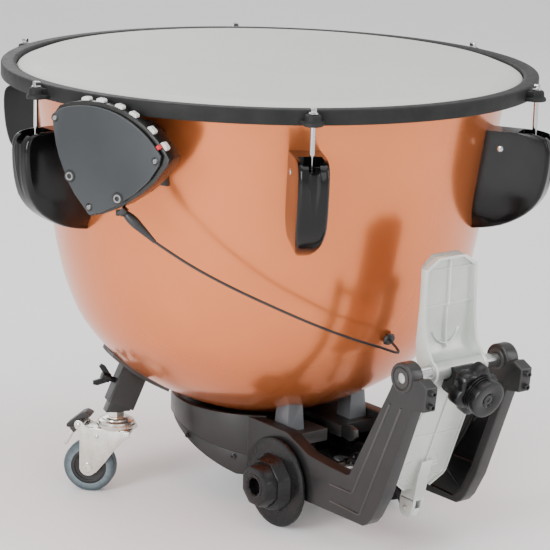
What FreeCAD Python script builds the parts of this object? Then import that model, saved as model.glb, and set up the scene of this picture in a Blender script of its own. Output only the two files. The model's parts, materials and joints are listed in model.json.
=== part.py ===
import FreeCAD, Part
import os, math
from FreeCAD import Vector, Rotation, Placement

# Pedal-tuned kettledrum, 26 inch size.  Frame: Z up, floor at z = 0, the
# bowl's axis is the Z axis, the pedal and the player are towards -Y.
os.makedirs("parts", exist_ok=True)
doc = FreeCAD.newDocument("kettledrum")

# ---------------------------------------------------------------- sizes (mm)
sheet = doc.addObject("Spreadsheet::Sheet", "Sizes")
VALUES = [
    ("hoop_top", 613.0), ("hoop_outer", 375.0), ("hoop_inner", 354.0),
    ("hoop_height", 20.0), ("bowl_wall", 3.2), ("rod_circle", 386.0),
    ("rod_radius", 3.35), ("rod_length", 137.0), ("rod_head", 8.7),
    ("casing_width", 40.0), ("shaft_y", -408.0), ("shaft_z", 271.0),
    ("shaft_radius", 9.5), ("boss_radius", 20.5), ("arm_inner", 73.5),
    ("arm_outer", 93.0), ("disc_radius", 63.0), ("disc_y", -166.0),
    ("disc_thick", 6.0), ("axle_radius", 8.0), ("base_radius", 130.0),
    ("base_top", 137.0), ("deck_top", 125.0), ("wheel_radius", 37.5),
    ("wheel_width", 22.0), ("swivel_circle", 216.4), ("leg_azimuth", 161.0),
    ("leg_tilt", 22.5), ("caster_trail", 37.0), ("trail_azimuth", 132.0),
    ("cap_radius", 28.0), ("post_base", 30.0), ("post_top", 24.0),
    ("gauge_azimuth", -158.0), ("gauge_face", 402.0), ("cable_diameter", 3.6),
    ("knob_radius", 36.0), ("spring_radius", 20.0),
]
for i, (alias, value) in enumerate(VALUES):
    sheet.set("A%d" % (i + 1), alias)
    sheet.set("B%d" % (i + 1), repr(value))
    sheet.setAlias("B%d" % (i + 1), alias)
doc.recompute()


def S(alias):
    return float(sheet.get(alias))


NODES = []


def node(obj, label):
    obj.Label = label
    NODES.append(obj)
    return obj


def bind(obj, prop, expr):
    obj.setExpression(prop, expr)


def cyl(name, r, h, p, d=(0, 0, 1), rexp=None, hexp=None):
    o = doc.addObject("Part::Cylinder", name)
    o.Radius = r
    o.Height = h
    if rexp:
        bind(o, "Radius", rexp)
    if hexp:
        bind(o, "Height", hexp)
    o.Placement = Placement(Vector(*p), Rotation(Vector(0, 0, 1), Vector(*d)))
    return o


def cone(name, ra, rb, h, p, d=(0, 0, 1)):
    o = doc.addObject("Part::Cone", name)
    o.Radius1, o.Radius2, o.Height = ra, rb, h
    o.Placement = Placement(Vector(*p), Rotation(Vector(0, 0, 1), Vector(*d)))
    return o


def box(name, lo, hi):
    o = doc.addObject("Part::Box", name)
    o.Length, o.Width, o.Height = hi[0] - lo[0], hi[1] - lo[1], hi[2] - lo[2]
    o.Placement = Placement(Vector(*lo), Rotation())
    return o


def fuse(name, objs):
    o = doc.addObject("Part::MultiFuse", name)
    o.Shapes = objs
    return o


def cut(name, a, b):
    if isinstance(b, (list, tuple)):
        b = fuse(name + "_tools", list(b)) if len(b) > 1 else b[0]
    o = doc.addObject("Part::Cut", name)
    o.Base, o.Tool = a, b
    return o


def common(name, a, b):
    o = doc.addObject("Part::Common", name)
    o.Base, o.Tool = a, b
    return o


def origin_plane(body, role):
    for f in body.Origin.OriginFeatures:
        if f.Role == role:
            return f


def sketch_on(body, role, name, edges):
    sk = body.newObject("Sketcher::SketchObject", name)
    sk.AttachmentSupport = (origin_plane(body, role), [""])
    sk.MapMode = "FlatFace"
    for e in edges:
        sk.addGeometry(e, False)
    return sk


def lines(pts):
    out = []
    n = len(pts)
    for i in range(n):
        a, b = pts[i], pts[(i + 1) % n]
        out.append(Part.LineSegment(Vector(a[0], a[1], 0), Vector(b[0], b[1], 0)))
    return out


def revolved(name, pts, edges=None):
    # profile in the XZ plane as (radius, z), turned about Z
    b = doc.addObject("PartDesign::Body", name)
    sk = sketch_on(b, "XZ_Plane", name + "_profile", edges or lines(pts))
    rv = b.newObject("PartDesign::Revolution", name + "_turn")
    rv.Profile = sk
    rv.ReferenceAxis = (sk, ["V_Axis"])
    rv.Angle = 360.0
    sk.Visibility = False
    return b


def padded(name, pts, length, place, lexp=None, midplane=False, edges=None):
    # profile pad: sketch on the body's XY plane, thickness along its Z
    b = doc.addObject("PartDesign::Body", name)
    sk = sketch_on(b, "XY_Plane", name + "_profile", edges or lines(pts))
    pd = b.newObject("PartDesign::Pad", name + "_pad")
    pd.Profile = sk
    pd.Length = length
    if midplane:
        try:
            pd.Midplane = True
        except Exception:
            pd.SideType = "Symmetric"
    if lexp:
        bind(pd, "Length", lexp)
    b.Placement = place
    return b


def side_pad(name, pts, x_low, x_high, lexp=None):
    # profile given as (y, z), extruded along +X from x_low to x_high
    m = FreeCAD.Matrix(0, 0, 1, x_low, 1, 0, 0, 0, 0, 1, 0, 0, 0, 0, 0, 1)
    return padded(name, pts, x_high - x_low, Placement(m), lexp)


def feature(name, shape):
    o = doc.addObject("Part::Feature", name)
    o.Shape = shape
    return o


def group(label, shapes):
    return node(feature(label, Part.makeCompound(shapes)), label)


def polar(shape, azimuth):
    s = shape.copy()
    s.rotate(Vector(0, 0, 0), Vector(0, 0, 1), azimuth)
    return s


def shp(obj):
    doc.recompute()
    return obj.Shape.copy()


def frame_at(azimuth):
    a = math.radians(azimuth)
    return Vector(math.cos(a), math.sin(a), 0), Vector(-math.sin(a), math.cos(a), 0)


ROD_AZ = [-120.0, -60.0, 0.0, 60.0, 120.0, 180.0]

# ---------------------------------------------------------------- bowl
# outer profile: nearly straight cone from the lip, then a full round bottom
PROFILE = [(331.0, 612.0), (330.6, 593.0), (323.9, 544.1), (317.2, 495.1),
           (310.5, 446.2), (303.3, 397.2), (294.5, 348.3), (281.5, 299.3),
           (259.0, 250.4), (217.6, 201.4), (180.0, 173.6), (141.2, 152.5),
           (82.1, 128.0), (40.0, 119.6), (12.0, 117.2)]


def spline(pts):
    bs = Part.BSplineCurve()
    bs.interpolate([Vector(p[0], p[1], 0) for p in pts])
    return bs


def offset_profile(pts, d):
    out = []
    for i, p in enumerate(pts):
        a = pts[max(i - 1, 0)]
        b = pts[min(i + 1, len(pts) - 1)]
        tx, tz = b[0] - a[0], b[1] - a[1]
        ln = math.hypot(tx, tz)
        nx, nz = -tz / ln, tx / ln
        if nx < 0 and i < 8:
            nx, nz = -nx, -nz
        out.append((p[0] + nx * d, p[1] + nz * d))
    return out


inner_pts = offset_profile(PROFILE, -S("bowl_wall"))
inner_pts[0] = (PROFILE[0][0] - S("bowl_wall"), 612.0)
inner_pts[-1] = (12.0, PROFILE[-1][1] + S("bowl_wall"))
lip = Part.Arc(Vector(PROFILE[0][0], 612.0, 0),
               Vector((PROFILE[0][0] + inner_pts[0][0]) / 2, 612.0 + S("bowl_wall"), 0),
               Vector(inner_pts[0][0], 612.0, 0))
bowl_edges = [spline(PROFILE),
              Part.LineSegment(Vector(12.0, PROFILE[-1][1], 0), Vector(12.0, inner_pts[-1][1], 0)),
              spline(list(reversed(inner_pts))), lip]
bowl_body = revolved("bowl_shell", None, bowl_edges)


def bowl_cutter(name, gap):
    # everything inside the bowl's outer skin plus a small gap
    pts = offset_profile(PROFILE, gap)
    pts[0] = (PROFILE[0][0] + gap, 612.0)
    pts[-1] = (12.0, PROFILE[-1][1] - gap)
    e = [spline(pts),
         Part.LineSegment(Vector(12.0, pts[-1][1], 0), Vector(0, pts[-1][1], 0)),
         Part.LineSegment(Vector(0, pts[-1][1], 0), Vector(0, 612.0, 0)),
         Part.LineSegment(Vector(0, 612.0, 0), Vector(pts[0][0], 612.0, 0))]
    return revolved(name, None, e)


cutter_near = bowl_cutter("skin_near", 0.15)
cutter_far = bowl_cutter("skin_far", 5.0)
NEAR = shp(cutter_near)
FAR = shp(cutter_far)

# slots behind the casings, where the tuning brackets pass through the wall,
# and the hole for the cable grommet
slot = box("lug_slot", (290, -7, 455), (345, 7, 487))
slots = feature("lug_slots", Part.makeCompound([polar(shp(slot), a) for a in ROD_AZ]))
# where the gauge cable enters the bowl: point on the skin and outward normal
GROMMET = Vector(-2.4, -277.3, 278.7)
GN = Vector(0.0, -0.905, -0.425)
GN.normalize()
g_hole = cyl("grommet_hole", 6.0, 30, GROMMET - GN * 15, GN)
bowl = node(cut("bowl", bowl_body, [slots, g_hole]), "bowl")

# ---------------------------------------------------------------- head and hoops
HT = S("hoop_top")
HI, HO = S("hoop_inner"), S("hoop_outer")
head = node(revolved("drumhead", [
    (0, HT + 3.2), (330.8, HT + 3.2), (350.5, HT - 2.6), (352.3, HT - 5.2), (352.3, HT - 16.5),
    (351.6, HT - 16.5), (351.6, HT - 5.0), (350.1, HT - 3.1), (330.4, HT + 2.5), (0, HT + 2.5)]), "drumhead")
flesh = node(revolved("flesh_hoop", [
    (352.7, HT - 17.5), (361.6, HT - 17.5), (361.6, HT - 8.8), (352.7, HT - 8.8)]), "flesh_hoop")
counter = node(revolved("counterhoop", [
    (HI, HT - 1.6), (HI + 1.6, HT), (HO - 2.2, HT), (HO, HT - 2.2),
    (HO, HT - S("hoop_height") + 0.8), (HO - 0.8, HT - S("hoop_height")), (HO - 12.2, HT - S("hoop_height")),
    (HO - 13.0, HT - S("hoop_height") + 0.8), (HO - 13.0, HT - 8.4), (HI, HT - 8.4)]), "counterhoop")

RC = S("rod_circle")
# one cast ear at azimuth 0: eye around the rod, web back to the hoop wall
ear_eye = cyl("ear_eye", 11.0, 8.0, (RC, 0, 602.0))
ear_web = box("ear_web", (370, -14, 602.0), (386, 14, 610.0))
ear_foot = box("ear_foot", (370, -16, 594.5), (381, 16, 602.0))
ear_raw = fuse("ear_raw", [ear_eye, ear_web, ear_foot])
ear_bore = cyl("ear_bore", 3.7, 30, (RC, 0, 590))
ear_hoop = cyl("ear_hoop_wall", HO + 0.02, 60, (0, 0, 570), rexp="Sizes.hoop_outer + 0.02")
ear = cut("ear", ear_raw, [ear_bore, ear_hoop])
EAR = shp(ear)
group("hoop_ears", [polar(EAR, a) for a in ROD_AZ])

# ---------------------------------------------------------------- tension rods
rod_stem = cyl("rod_stem", 3.35, 137, (RC, 0, 475.5), rexp="Sizes.rod_radius", hexp="Sizes.rod_length")
rod_collar = cyl("rod_collar", 7.2, 1.7, (RC, 0, 610.3))
rod_neck = cyl("rod_neck", 4.6, 1.2, (RC, 0, 612.0))
hh = S("rod_head") / 2
rod_sq = box("rod_square", (RC - hh, -hh, 613.2), (RC + hh, hh, 616.8))
rod_tie = fuse("rod_one", [rod_stem, rod_collar, rod_neck, rod_sq])
ROD = shp(rod_tie)
for i, a in enumerate(ROD_AZ):
    node(feature("tension_rod_%d" % (i + 1), polar(ROD, a)), "tension_rod_%d" % (i + 1))

# ---------------------------------------------------------------- lug casings
cw = S("casing_width") / 2
CAS = [(290, 555.5), (334, 555.0), (388, 553.2), (410, 547.5), (413.2, 535), (413.5, 520), (411.5, 493),
       (406, 468), (396, 452), (379, 437.5), (344, 419.5), (312, 412.8), (290, 411.5)]
# the casing's side profile (radius, z), padded across the tangential width
mcas = FreeCAD.Matrix(1, 0, 0, 0, 0, 0, -1, cw, 0, 1, 0, 0, 0, 0, 0, 1)
cas_b = padded("casing_profile", CAS, 2 * cw, Placement(mcas), "Sizes.casing_width")
cas_void = fuse("casing_void", [box("casing_void_a", (290, -11, 456.5), (394.5, 11, 541)),
                                box("casing_void_b", (390, -11, 492), (402, 11, 541))])
cas_nib = cyl("casing_rod_hole", 6.2, 60, (RC, 0, 520))
cas_front = box("casing_front_notch", (RC, -6.2, 541), (RC + 14, 6.2, 560))
cas_cut = cut("casing_hollow", cas_b, [cas_void, cas_nib, cas_front])
cas_one = cut("casing_one", cas_cut, cutter_near)
CASING = shp(cas_one)
# round the long upright corners of the moulding
try:
    edges = [e for e in CASING.Edges if e.Length > 8 and abs(e.BoundBox.YMax - e.BoundBox.YMin) < 0.01
             and abs(abs(e.BoundBox.YMax) - cw) < 0.01 and e.BoundBox.XMax > 345]
    rounded = CASING.makeFillet(4.0, edges)
    if rounded.isValid() and len(rounded.Solids) == 1:
        CASING = rounded
except Exception:
    pass
group("lug_casings", [polar(CASING, a) for a in ROD_AZ])
scr_a = cyl("casing_screw_a", 4.2, 1.6, (345, -cw, 529), (0, -1, 0))
scr_b = cyl("casing_screw_b", 4.2, 1.6, (345, cw, 529), (0, 1, 0))
SCR = [shp(scr_a), shp(scr_b)]
group("casing_screws", [polar(s, a) for a in ROD_AZ for s in SCR])

# ---------------------------------------------------------------- inner tuning gear
lug_blk = box("lug_block", (RC - 9, -8, 462), (RC + 7, 8, 482))
lug_arm = box("lug_arm", (300, -5, 464), (RC - 7, 5, 478))
lug_bore = cyl("lug_bore", 3.43, 40, (RC, 0, 450), rexp="Sizes.rod_radius + 0.08")
lug_one = cut("lug_one", fuse("lug_raw", [lug_blk, lug_arm]), lug_bore)
LUG = shp(lug_one)
group("lug_brackets", [polar(LUG, a) for a in ROD_AZ])
p0, p1 = Vector(124, 0, 189.5), Vector(299, 0, 471)
pull_dir = (p1 - p0)
pull = cyl("pull_one", 4.0, pull_dir.Length, p0, pull_dir)
PULL = shp(pull)
group("pull_rods", [polar(PULL, a) for a in ROD_AZ])
sp_hub = cyl("spider_hub", 42, 16, (0, 0, 172))
sp_arm = box("spider_arm", (30, -8, 174), (132, 8, 185.5))
SP_ARM = shp(sp_arm)
sp_arms = feature("spider_arms", Part.makeCompound([polar(SP_ARM, a) for a in ROD_AZ]))
sp_shaft = cyl("spider_shaft", 8.0, 82, (0, 0, 98))
sp_nut = cyl("spider_nut", 14.0, 10, (0, 0, 188))
SPI = shp(sp_hub)
for a in ROD_AZ:
    SPI = SPI.fuse(polar(SP_ARM, a))
SPI = SPI.fuse([shp(sp_shaft), shp(sp_nut)]).removeSplitter()
node(feature("tuning_spider", SPI), "tuning_spider")

# ---------------------------------------------------------------- base housing
BR, BT, DT = S("base_radius"), S("base_top"), S("deck_top")


def seam(y):
    return 98.5 + 0.207 * y


b_prof = side_pad("housing_side", [(-118, seam(-118)), (47, seam(47)), (135, seam(47)), (135, BT), (-118, BT)], -135, 135)
b_cyl = cyl("housing_round", BR, 140, (0, 0, 20), rexp="Sizes.base_radius")
b_out = common("housing_outer", b_prof, b_cyl)
tongue = box("housing_tongue", (-73.5, -168, 108), (73.5, -80, DT))
eye_lug = side_pad("housing_lug", [(-160, 110), (-186, 106), (-196, 114), (-194, 124), (-184, 127), (-160, 125)], 14, 22)
b_sum = fuse("housing_sum", [b_out, tongue, eye_lug])
link_slot = box("housing_link_slot", (-12, -175, 72), (12, -84, 140))
b_void = cyl("housing_void", BR - 7, 99, (0, 0, 20))
b_top = cyl("housing_recess", BR - 7, 20, (0, 0, DT))
b_front = box("housing_front_open", (-73.5, -140, DT), (73.5, -70, BT + 5))
b_hole = cyl("housing_shaft_hole", 12, 60, (0, 0, 90))
base_h = node(cut("base_housing", b_sum, [b_void, b_top, b_front, b_hole, link_slot, cutter_near]), "base_housing")

c_prof = side_pad("cover_side", [(-118, 50), (-80, 50), (47, 106.3), (47, seam(47) - 0.4), (-118, seam(-118) - 0.4)], -135, 135)
c_out = common("cover_outer", c_prof, cyl("cover_round", BR, 140, (0, 0, 20), rexp="Sizes.base_radius"))
c_in = side_pad("cover_inside", [(-110, 54), (-81, 54), (38, 106.5), (38, 120), (-110, 120)], -135, 135)
c_void = common("cover_void", c_in, cyl("cover_void_round", BR - 6, 140, (0, 0, 20)))
base_c = node(cut("base_cover", c_out, c_void), "base_cover")

# bolts that hold the cover: on its flank, at the ends of the seam
bolt_shapes = []
for sx in (-1, 1):
    for y in (-2.0, -76.0):
        x = -math.sqrt(BR * BR - y * y)
        z = seam(y) - 7
        c = cyl("cover_bolt", 3.4, 5.0, (sx * -x - sx * -1 * 0, y, z), (1, 0, 0))
        c.Placement = Placement(Vector(sx * x, y, z) * 1.0, Rotation(Vector(0, 0, 1), Vector(sx * x, y, 0)))
        doc.recompute()
        bolt_shapes.append(shp(c))

# arms: flat cast cranked plates, from the housing forward and up to the shaft
SY, SZ = S("shaft_y"), S("shaft_z")
AI, AO = S("arm_inner"), S("arm_outer")
ARM = [(-60, 48), (-200, 50), (-343, 51), (-352, 56), (-361, 66), (-380, 100), (-428, 229), (-430, 236),
       (-428.5, 262), (-408, 271), (-391, 262), (-386, 250), (-350.6, 186), (-312, 114), (-306, 112), (-272, 113),
       (-225, 117), (-178, 136), (-60, 136)]
parts_arm = {}
for side, x0, x1 in (("left", -AO, -AI), ("right", AI, AO)):
    prof = side_pad("arm_%s_profile" % side, ARM, x0, x1, "Sizes.arm_outer - Sizes.arm_inner")
    bx = x0 if side == "left" else x0
    boss = cyl("arm_%s_boss" % side, 20.5, x1 - x0, (x0, SY, SZ), (1, 0, 0), "Sizes.boss_radius")
    block = side_pad("arm_%s_block" % side, [(-424, 232), (-453, 236), (-456, 268), (-440, 276), (-408, 268)], x0 + 0.0, x1)
    raw = fuse("arm_%s_raw" % side, [prof, boss, block])
    bore = cyl("arm_%s_bore" % side, 9.55, 60, (x0 - 20, SY, SZ), (1, 0, 0), "Sizes.shaft_radius + 0.05")
    axle_b = cyl("arm_%s_axle_bore" % side, 8.0, 60, (x0 - 20, S("disc_y"), S("disc_radius")), (1, 0, 0), "Sizes.axle_radius + 0.02")
    keep = cyl("arm_%s_housing" % side, BR + 0.1, 200, (0, 0, 0), rexp="Sizes.base_radius + 0.1")
    parts_arm[side] = node(cut("arm_" + side, raw, [bore, axle_b, keep]), "arm_" + side)

# shaft across both arms
shaft = node(cyl("pedal_shaft", 9.5, 186.4, (-93.2, SY, SZ), (1, 0, 0), "Sizes.shaft_radius"), "pedal_shaft")
# socket screws in the front face of each clamp block
cl = []
for sx in (-1, 1):
    for (y, z) in ((-455.2, 261.0), (-453.4, 243.0)):
        h = cyl("clamp_screw", 4.4, 6.0, (sx * 83.25, y, z), (0, -0.997, -0.08))
        cl.append(shp(h))
group("frame_screws", bolt_shapes + cl)

# tapered square posts between the base and the bowl
posts = []
for (x, y) in ((-56.5, -137.5), (56.5, -137.5), (0.0, 96.0)):
    a, b = S("post_base") / 2, S("post_top") / 2
    w0 = Part.makePolygon([Vector(x - a, y - a, DT), Vector(x + a, y - a, DT), Vector(x + a, y + a, DT), Vector(x - a, y + a, DT), Vector(x - a, y - a, DT)])
    w1 = Part.makePolygon([Vector(x - b, y - b, DT + 45), Vector(x + b, y - b, DT + 45), Vector(x + b, y + b, DT + 45), Vector(x - b, y + b, DT + 45), Vector(x - b, y - b, DT + 45)])
    lf = Part.makeLoft([w0, w1], True, True)
    posts.append(lf.cut(NEAR))
group("bowl_posts", posts)

# two balance spring barrels, lying fore and aft between the arms, with their
# saddle under the deck; the pedal link passes between them
SR = S("spring_radius")
sp_parts = []
for sx in (-1, 1):
    sp_parts.append(cyl("barrel_body", 20.0, 58.0, (sx * 42, -131.5, 79), (0, -1, 0), "Sizes.spring_radius"))
    sp_parts.append(cyl("barrel_cap", 16.0, 7.0, (sx * 42, -189.5, 79), (0, -1, 0)))
    sp_parts.append(box("barrel_saddle", (sx * 42 - 14, -162, 92), (sx * 42 + 14, -138, 107.9)))
spring_l = fuse("barrel_left", sp_parts[:3])
spring_r = fuse("barrel_right", sp_parts[3:])
# the front axle crosses the underside of both barrels in a groove
axle_gap = shp(cyl("barrel_groove", 8.06, 160, (-80, S("disc_y"), S("disc_radius")), (1, 0, 0), "Sizes.axle_radius + 0.06"))
group("spring_barrels", [shp(spring_l).cut(axle_gap), shp(spring_r).cut(axle_gap)])

# ---------------------------------------------------------------- front wheels
DR, DY = S("disc_radius"), S("disc_y")
axle = node(cyl("front_axle", 8.0, 246, (-123, DY, DR), (1, 0, 0), "Sizes.axle_radius"), "front_axle")


def octagon(r, x, ph=0.0):
    pts = []
    for k in range(9):
        a = math.radians(22.5 + 45 * k + ph)
        pts.append(Vector(x, DY + r * math.cos(a), DR + r * math.sin(a)))
    return Part.makePolygon(pts)


for side, s in (("left", -1), ("right", 1)):
    hubl = Part.makeLoft([octagon(40.0, s * 103.3), octagon(29.0, s * 133.0), octagon(27.0, s * 138.0)], True, True)
    rim = cyl("disc_%s_rim" % side, 63.0, 6.0, (s * 97.5 if s > 0 else -103.5, DY, DR), (1, 0, 0), "Sizes.disc_radius", "Sizes.disc_thick")
    bore = cyl("disc_%s_bore" % side, 8.06, 60, (s * 80 if s > 0 else -125.5, DY, DR), (1, 0, 0), "Sizes.axle_radius + 0.06")
    if s > 0:
        bore.Placement = Placement(Vector(65.5, DY, DR), Rotation(Vector(0, 0, 1), Vector(1, 0, 0)))
    mouth = cyl("disc_%s_mouth" % side, 12.5, 16.0, (s * 123.5 if s > 0 else -139.5, DY, DR), (1, 0, 0))
    raw = shp(rim).fuse(hubl).cut(shp(bore)).cut(shp(mouth)).removeSplitter()
    node(feature("front_wheel_" + side, raw), "front_wheel_" + side)

# ---------------------------------------------------------------- pedal
# side profiles (y, z) of the cast footplate: upper half, wrap and lower half
PW = 46.0
up = side_pad("pedal_upper", [(-402, 284), (-388, 300), (-388, 404), (-380, 417), (-375, 417), (-375, 300), (-384, 284)], -PW, PW)
lo = side_pad("pedal_lower", [(-412, 258), (-398, 252), (-338.5, 98), (-333, 86), (-338, 84), (-349, 98), (-352, 101)], -PW, PW)
tube = cyl("pedal_tube", 14.5, 2 * 50.0, (-50, SY, SZ), (1, 0, 0))
rib = side_pad("pedal_rib", [(-408, 262), (-352, 100), (-344, 46), (-333, 44), (-322, 52), (-322, 64), (-335, 104), (-390, 258)], -10, 10)
ped_raw = fuse("pedal_raw", [up, lo, tube, rib])
ped_bore = cyl("pedal_bore", 9.6, 130, (-65, SY, SZ), (1, 0, 0), "Sizes.shaft_radius + 0.06")
# hollow the ribbed face of the upper and the lower half, leaving a rim and a centre rib
up_l = box("pedal_pocket_a", (-41, -400, 305), (-3, -380, 399))
up_r = box("pedal_pocket_b", (3, -400, 305), (41, -380, 399))
clev_gap = box("clevis_gap", (-4, -350, 40), (4, -318, 72))
clev_pin_bore = cyl("clevis_pin_bore", 4.02, 60, (-30, -333, 57), (1, 0, 0))
# clipped upper and lower corners
cor = []
for s in (-1, 1):
    w = Part.makePolygon([Vector(s * 18, -420, 420), Vector(s * 60, -420, 420), Vector(s * 60, -420, 402), Vector(s * 46.2, -420, 402), Vector(s * 18, -420, 420)])
    cor.append(Part.Face(w).extrude(Vector(0, 70, 0)))
    w = Part.makePolygon([Vector(s * 14, -420, 82), Vector(s * 60, -420, 82), Vector(s * 60, -420, 108), Vector(s * 46.2, -420, 108), Vector(s * 14, -420, 84.0), Vector(s * 14, -420, 82)])
    cor.append(Part.Face(w).extrude(Vector(0, 120, 0)))
ped = shp(ped_raw).cut([shp(ped_bore), shp(up_l), shp(up_r), shp(clev_gap), shp(clev_pin_bore)] + cor).removeSplitter()
node(feature("pedal", ped), "pedal")
cpin = node(cyl("clevis_pin", 4.0, 22.0, (-11, -333, 57), (1, 0, 0)), "clevis_pin")

# link from the clevis back under the bowl
LK0, LK1 = Vector(0, -333, 57), Vector(0, -215, 95)
link_pts = [(-333, 63.5), (-327, 62), (-318, 78), (-300, 93), (-270, 101), (-215, 101.5), (-209, 95), (-215, 88.5),
            (-268, 88), (-292, 80), (-307, 68), (-318, 50.5), (-333, 50.5), (-339, 57)]
link_b = side_pad("link_profile", link_pts, -3.5, 3.5)
link_bore = cyl("link_bore", 4.06, 20, (-10, -333, 57), (1, 0, 0))
link_eye = cyl("link_far_bore", 3.5, 20, (-10, -215, 95), (1, 0, 0))
link = node(cut("pedal_link", link_b, [link_bore, link_eye]), "pedal_link")

# knob: lobed hand wheel and round front disc, axis square to the lower plate
KA = math.radians(16.0)
K = Vector(0, -math.cos(KA), -math.sin(KA))
K0 = Vector(0, -408, 261.5)
k_in = cyl("knob_hub_body", 17.0, 21.0, K0 + K * 3.0, K)
k_hub_b = box("knob_hub_block", (-18, -432, 252), (18, -408, 288))
k_cut = cyl("knob_hub_clear", 14.6, 60, (-30, SY, SZ), (1, 0, 0))
hub_raw = shp(k_in).fuse(shp(k_hub_b)).cut(shp(k_cut))
hub_raw = hub_raw.cut(ped)
sol = max(hub_raw.Solids, key=lambda q: q.Volume)
node(feature("knob_hub", sol), "knob_hub")
KR = S("knob_radius")
wheel = shp(cyl("knob_wheel", 36.0, 22.0, K0 + K * 26.0, K, "Sizes.knob_radius"))
u = K.cross(Vector(1, 0, 0))
u.normalize()
for k in range(6):
    a = math.radians(60 * k + 30)
    c = K0 + K * 20.0 + (Vector(1, 0, 0) * math.cos(a) + u * math.sin(a)) * (KR + 11.0)
    wheel = wheel.cut(Part.makeCylinder(17.0, 40.0, c, K))
disc = shp(cyl("knob_disc", 26.0, 20.5, K0 + K * 47.5, K))
groove = Part.makeCylinder(27.5, 2.4, K0 + K * 52.0, K).cut(Part.makeCylinder(24.0, 2.4, K0 + K * 52.0, K))
dish = Part.makeCone(7.0, 9.5, 2.5, K0 + K * 65.6, K)
wheel = wheel.fuse(disc).cut(groove).cut(dish).removeSplitter()
node(feature("pedal_knob", wheel), "pedal_knob")

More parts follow.
